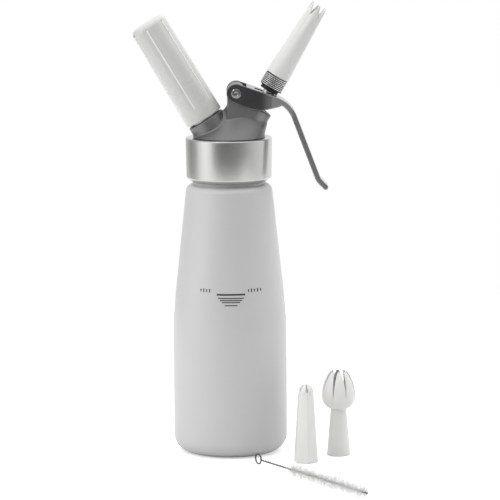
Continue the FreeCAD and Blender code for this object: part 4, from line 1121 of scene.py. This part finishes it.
@dataclass
class SpareTips:
    """The two spare decorator tips that stand beside the bottle."""

    straight_sides: int = 6
    straight_turn: float = math.radians(10)
    straight_base: float = 8.9 * MM
    straight_top: float = 5.9 * MM
    straight_side_height: float = 48.5 * MM
    straight_dome: float = 6.5 * MM
    straight_wall: float = 1.1 * MM
    straight_socket: float = 6.65 * MM
    straight_edge: float = 0.5 * MM
    slots: int = 3
    slot_width: float = 0.8 * MM
    slot_depth: float = 5.0 * MM
    slot_edge: float = 0.15 * MM
    tulip_base: float = 8.25 * MM
    tulip_neck: Point = (5.55 * MM, 33.0 * MM)
    tulip_bulb: Point = (11.8 * MM, 41.5 * MM)
    tulip_mouth: Point = (6.0 * MM, 59.6 * MM)
    tulip_arcs: Point = (9.0 * MM, 26.5 * MM)
    tulip_wall: float = 1.1 * MM
    petals: int = 8
    petal_gap: float = 2.6 * MM
    petal_floor: float = 41.0 * MM
    petal_edge: float = 0.4 * MM
    tulip_turn: float = math.radians(25)

    def straight(self) -> Shape:
        """A six-sided taper under a slotted dome."""
        tall, dome = self.straight_side_height, self.straight_dome
        flat = self.straight_top * math.cos(math.pi / self.straight_sides)
        pick()
        bpy.ops.mesh.primitive_cone_add(vertices=self.straight_sides, radius1=self.straight_base,
                                        radius2=self.straight_top, depth=tall, location=(0, 0, tall / 2))
        tip = settle(named("spare_star_tip"))
        break_edges(tip, self.straight_edge, 3, math.radians(30))
        bend = arc_radius(flat, dome)
        cap = Outline(0, tall - MM).to(flat, tall - MM).to(flat, tall).arc(0, tall + dome, bend, +1, 12)
        carve(tip, turned("dome", cap, 72), "UNION")
        wall = self.straight_wall
        hollow = Outline(0, -MM).to(self.straight_socket, -MM).to(flat - wall, tall)
        hollow.arc(0, tall + dome - wall, bend, +1, 10)
        carve(tip, turned("hollow", hollow, 72))
        low = tall + dome - self.slot_depth
        for index in range(self.slots):
            pick()
            bpy.ops.mesh.primitive_cube_add(size=1, location=(0, 0, low + self.slot_depth))
            slot = named("slot")
            slot.scale = (self.slot_width, self.straight_base * 2, self.slot_depth * 2)
            slot.rotation_euler = (0, 0, math.pi * index / self.slots)
            carve(tip, settle(slot))
        break_edges(tip, self.slot_edge)
        return leaned(smooth(tip), UP, middle_of("spare_straight_tip"), self.straight_turn)

    def tulip(self) -> Shape:
        """A round taper that opens into a bulb of petals."""
        wall, (neck, neck_up), (bulb, bulb_up) = self.tulip_wall, self.tulip_neck, self.tulip_bulb
        (mouth, top), (lower, upper) = self.tulip_mouth, self.tulip_arcs
        soft = 0.3 * MM
        outline = Outline(self.tulip_base - wall, 0).to(self.tulip_base - soft, 0)
        outline.arc(self.tulip_base, soft, soft, +1, 3).to(neck, neck_up).arc(bulb, bulb_up, lower, +1, 12)
        outline.arc(mouth, top, upper, +1, 14).to(mouth - wall, top)
        outline.arc(bulb - wall, bulb_up, upper, -1, 14).arc(neck - wall, neck_up, lower, -1, 12).close()
        tip = turned("spare_tulip_piece", outline, 96)
        half = self.petal_gap / 2
        for turn in all_round(self.petals):
            wedge = Outline(0, self.petal_floor).to(half, top + wall).to(-half, top + wall)
            carve(tip, set_round(extruded("petal_gap", wedge, bulb * 2), turn, (0, bulb, 0)))
        break_edges(tip, self.petal_edge, 3)
        return leaned(smooth(tip), UP, middle_of("spare_tulip_tip"), self.tulip_turn)

    def build(self) -> None:
        """Builds both spare tips."""
        fit(self.straight(), WHITE_MOULDED, "bottle", "spare_straight_tip")
        fit(self.tulip(), WHITE_MOULDED, "bottle", "spare_tulip_tip")


# ---- cleaning brush


@dataclass
class Brush:
    """The cleaning brush: two twisted wires with a ring, and nylon bristles held between them."""

    heading: float = math.radians(-57.0)
    ring_place: Triple = (19.0 * MM, -61.5 * MM, 5.7 * MM)
    ring_radius: float = 3.4 * MM
    wire: float = 0.42 * MM
    ring_share: float = 1.3
    twist_radius: float = 0.42 * MM
    twist_lead: float = 4.2 * MM
    length: float = 130.5 * MM
    bristle_start: float = 39.0 * MM
    bristle_end: float = 129.0 * MM
    bristle_radius: float = 5.5 * MM
    bristle_core: float = 4.0 * MM
    bristle_thickness: float = 0.11 * MM
    bristle_point: float = 0.6
    bristle_count: int = 1500
    angle_spread: float = 0.35
    lean_spread: float = 0.12
    shortest: float = 0.86
    end_taper: float = 5.0 * MM
    seed: int = 7

    def placed(self, piece: Shape) -> Shape:
        """Lays an upright piece along the brush's heading."""
        along = Vector((math.cos(self.heading), math.sin(self.heading), 0))
        turn = along.to_track_quat("Z", "Y").to_matrix().to_4x4()
        piece.matrix_world = Matrix.Translation(Vector(self.ring_place)) @ turn
        return settle(piece)

    def strands(self) -> Shape:
        """Two wires twisted round each other, and the ring that they end in."""
        wires = []
        turns = (self.length - self.ring_radius) / self.twist_lead
        for turn in all_round(2):
            section = round_section(self.twist_radius, self.ring_radius, self.wire, 8)
            wires.append(set_round(helix("strand", section, self.twist_lead, turns, 14), turn))
        pick()
        bpy.ops.mesh.primitive_torus_add(major_radius=self.ring_radius, major_segments=48, minor_segments=12,
                                         minor_radius=self.wire * self.ring_share,
                                         rotation=(0, math.pi / 2, 0))
        ring = smooth(settle(named("ring")))
        return self.placed(joined("brush_twisted_wire", ring, *wires))

    def bristles(self) -> Shape:
        """Hundreds of thin bristles that follow the twist, each a three-sided hair."""
        chance = random.Random(self.seed)
        pick()
        thick = self.bristle_thickness
        bpy.ops.mesh.primitive_cone_add(vertices=3, radius1=thick, radius2=thick * self.bristle_point,
                                        depth=1.0, location=(0, 0, 0.5))
        model = settle(named("bristle"))
        span = self.bristle_end - self.bristle_start
        vertices: list[Vector] = []
        faces: list[tuple[int, ...]] = []
        for index in range(self.bristle_count):
            height = self.bristle_start + span * (index + chance.random()) / self.bristle_count
            from_end = min(height - self.bristle_start, self.bristle_end - height) / self.end_taper
            reach = self.bristle_core + (self.bristle_radius - self.bristle_core) * min(1.0, from_end)
            angle = FULL_TURN * height / self.twist_lead + math.pi * (index % 2)
            angle += chance.gauss(0, self.angle_spread)
            lean = Vector((math.cos(angle), math.sin(angle), chance.gauss(0, self.lean_spread))).normalized()
            reach *= chance.uniform(self.shortest, 1.0)
            frame_turn = lean.to_track_quat("Z", "Y").to_matrix().to_4x4()
            place = Matrix.Translation((0, 0, height)) @ frame_turn @ Matrix.Diagonal((1, 1, reach, 1))
            first = len(vertices)
            vertices += [place @ vertex.co for vertex in model.data.vertices]
            faces += [tuple(first + corner for corner in face.vertices) for face in model.data.polygons]
        bpy.data.objects.remove(model, do_unlink=True)
        mesh = bpy.data.meshes.new("brush_nylon_bristles")
        mesh.from_pydata(vertices, [], faces)
        return self.placed(linked(mesh.name, mesh))

    def build(self) -> None:
        """Builds the wire and the bristles."""
        fit(self.strands(), WIRE_STEEL, "bottle", "brush_wire")
        fit(self.bristles(), NYLON, "bottle", "brush_bristles")


# ---- studio


@dataclass
class Studio:
    """The pale floor, the soft light and the camera."""

    camera_distance: float = 2.4
    camera_height: float = 0.510
    pitch: float = math.radians(8.53)
    focal_pixels: float = 3451.0
    picture: float = 500.0
    principal: Point = (229.3, 239.5)
    roll: float = math.radians(0.33)
    sensor: float = 36.0
    floor_size: float = 1.3
    floor_drop: float = 0.05 * MM
    floor_tone: Triple = grey(0.80)
    floor_roughness: float = 0.9
    floor_lift: float = 0.45
    # Each light is a row of (degrees round from the front, level) stops.
    gloss_light: tuple[Point, ...] = (
        (-180, 0.95), (-150, 0.66), (-122, 0.34), (-100, 0.50), (-84, 1.05), (-66, 1.30), (-52, 1.12),
        (-38, 0.34), (-24, 0.20), (0, 0.20), (20, 0.26), (40, 0.34), (56, 0.56), (80, 0.74), (104, 0.90),
        (130, 1.00), (160, 1.00), (180, 0.95))
    soft_light: tuple[Point, ...] = (
        (-180, 0.88), (-150, 0.67), (-120, 0.46), (-95, 1.02), (-70, 2.2), (-45, 1.4), (-20, 0.07), (5, 0.05),
        (25, 0.05), (45, 0.05), (70, 0.96), (95, 2.3), (120, 1.7), (150, 1.13), (180, 0.88))
    upper_light: tuple[Point, ...] = (
        (-180, 0.90), (-150, 0.74), (-120, 0.65), (-95, 1.38), (-70, 2.3), (-45, 2.05), (-20, 0.85),
        (5, 0.42), (25, 0.40), (45, 0.40), (70, 1.1), (95, 2.3), (120, 1.64), (150, 1.12), (180, 0.90))
    gloss_above: Triple = grey(1.0)
    ground_light: Triple = grey(0.30)
    zenith_light: Triple = grey(2.0)
    # Each light comes in softly between two heights of the direction.
    ceiling_start: Point = (0.35, 0.85)
    upper_start: Point = (0.15, 0.60)
    ground_start: Point = (0.05, -0.30)
    zenith_start: Point = (0.72, 0.97)
    lamp_place: Triple = (-1.1, -1.5, 1.5)
    lamp_aim: Triple = (0.0, 0.0, 0.2)
    lamp_size: float = 0.32
    lamp_power: float = 3.0

    def camera(self) -> None:
        """Puts the camera at its place, with a long lens and no shift."""
        half = self.picture / 2
        down = self.pitch + math.atan((half - self.principal[1]) / self.focal_pixels)
        right = math.atan((half - self.principal[0]) / self.focal_pixels)
        data = bpy.data.cameras.new("camera")
        data.sensor_width = self.sensor
        data.lens = self.focal_pixels / self.picture * self.sensor
        data.clip_end = 100.0
        camera = linked("camera", data)
        place = Matrix.Translation((0, -self.camera_distance, self.camera_height))
        aim = Matrix.Rotation(-right, 4, "Z") @ Matrix.Rotation(math.pi / 2 - down, 4, "X")
        camera.matrix_world = place @ aim @ Matrix.Rotation(-self.roll, 4, "Z")
        bpy.context.scene.camera = camera

    def floor(self) -> None:
        """A large pale floor that keeps a soft shadow."""
        pick()
        bpy.ops.mesh.primitive_plane_add(size=self.floor_size, location=(0, 0, -self.floor_drop))
        floor = named("studio_floor")
        paint = bpy.data.materials.new("studio_floor_paint")
        paint.use_nodes = True
        wires = Wiring(paint.node_tree)
        shader = paint.node_tree.nodes["Principled BSDF"]
        lift = wires.maths("MULTIPLY", self.seen(wires), self.floor_lift)
        wires.feed_all(shader, {"Base Color": (*self.floor_tone, 1), "Roughness": self.floor_roughness,
                                "Emission Color": (1, 1, 1, 1), "Emission Strength": lift})
        floor.data.materials.append(paint)

    def seen(self, wires: Wiring) -> Socket:
        """1 for camera and transmission rays, and 0 for the others."""
        rays = wires.add("LightPath").outputs
        return wires.maths("MAXIMUM", rays["Is Camera Ray"], rays["Is Transmission Ray"])

    def world(self) -> None:
        """White behind the object, softboxes for gloss and metal, and a soft dome for the rest."""
        world = bpy.data.worlds.new("studio_world")
        world.use_nodes = True
        bpy.context.scene.world = world
        wires = Wiring(world.node_tree)
        way = wires.add("SeparateXYZ", wires.add("TexCoord").outputs["Generated"]).outputs
        back = wires.maths("MULTIPLY", way["Y"], -1.0)
        share = wires.add("MapRange", Value=wires.maths("ARCTAN2", way["X"], back), From_Min=-math.pi,
                          From_Max=math.pi).outputs["Result"]
        gloss = self.bands(wires, share, self.gloss_light)
        soft = self.bands(wires, share, self.soft_light)
        gloss = wires.mixed(wires.rise(way["Z"], self.ceiling_start), gloss, self.gloss_above)
        for ends, light in ((self.upper_start, self.bands(wires, share, self.upper_light)),
                            (self.zenith_start, self.zenith_light), (self.ground_start, self.ground_light)):
            soft = wires.mixed(wires.rise(way["Z"], ends), soft, light)
        lit = wires.mixed(wires.add("LightPath").outputs["Is Glossy Ray"], soft, gloss)
        sky = world.node_tree.nodes["Background"]
        wires.feed(sky.inputs["Color"], wires.mixed(self.seen(wires), lit, grey(1.0)))

    def bands(self, wires: Wiring, share: Socket, stops: tuple[Point, ...]) -> Socket:
        """Bright and dark bands round the horizon.

        Args:
            wires: the world's nodes.
            share: how far round the horizon a direction lies; 0.5 is the front, and it grows to the right.
            stops: the light's (degrees, level) stops.

        Returns:
            The light in that direction.
        """
        ramp = wires.add("ValToRGB", share)
        ramp.color_ramp.interpolation = "EASE"
        made = ramp.color_ramp.elements
        made.remove(made[-1])
        for index, (angle, level) in enumerate(stops):
            place = angle / 360 + 0.5
            stop = made[0] if index == 0 else made.new(place)
            stop.position = place
            stop.color = (level, level, level, 1)
        return ramp.outputs["Color"]

    def lamp(self) -> None:
        """Adds the softbox at the left."""
        data = bpy.data.lights.new("softbox_left", "AREA")
        data.shape = "RECTANGLE"
        data.size = data.size_y = self.lamp_size
        data.energy = self.lamp_power
        lamp = linked(data.name, data)
        lamp.location = self.lamp_place
        lamp.rotation_euler = (Vector(self.lamp_aim) - lamp.location).to_track_quat("-Z", "Y").to_euler()

    def build(self) -> None:
        """Builds the floor, the world, the lamp and the camera."""
        self.camera()
        self.floor()
        self.world()
        self.lamp()
        bpy.context.scene.view_settings.view_transform = "Standard"


def main() -> None:
    """Builds the studio and every sub-assembly in order."""
    logging.basicConfig(level=logging.INFO, format="%(name)s: %(message)s")
    for builder in (Studio(), Bottle(), Head(), Lever(), ValveSide(), ChargerSide(), SpareTips(), Brush()):
        log.info("building %s", type(builder).__name__)
        builder.build()


if __name__ == "__main__":
    main()
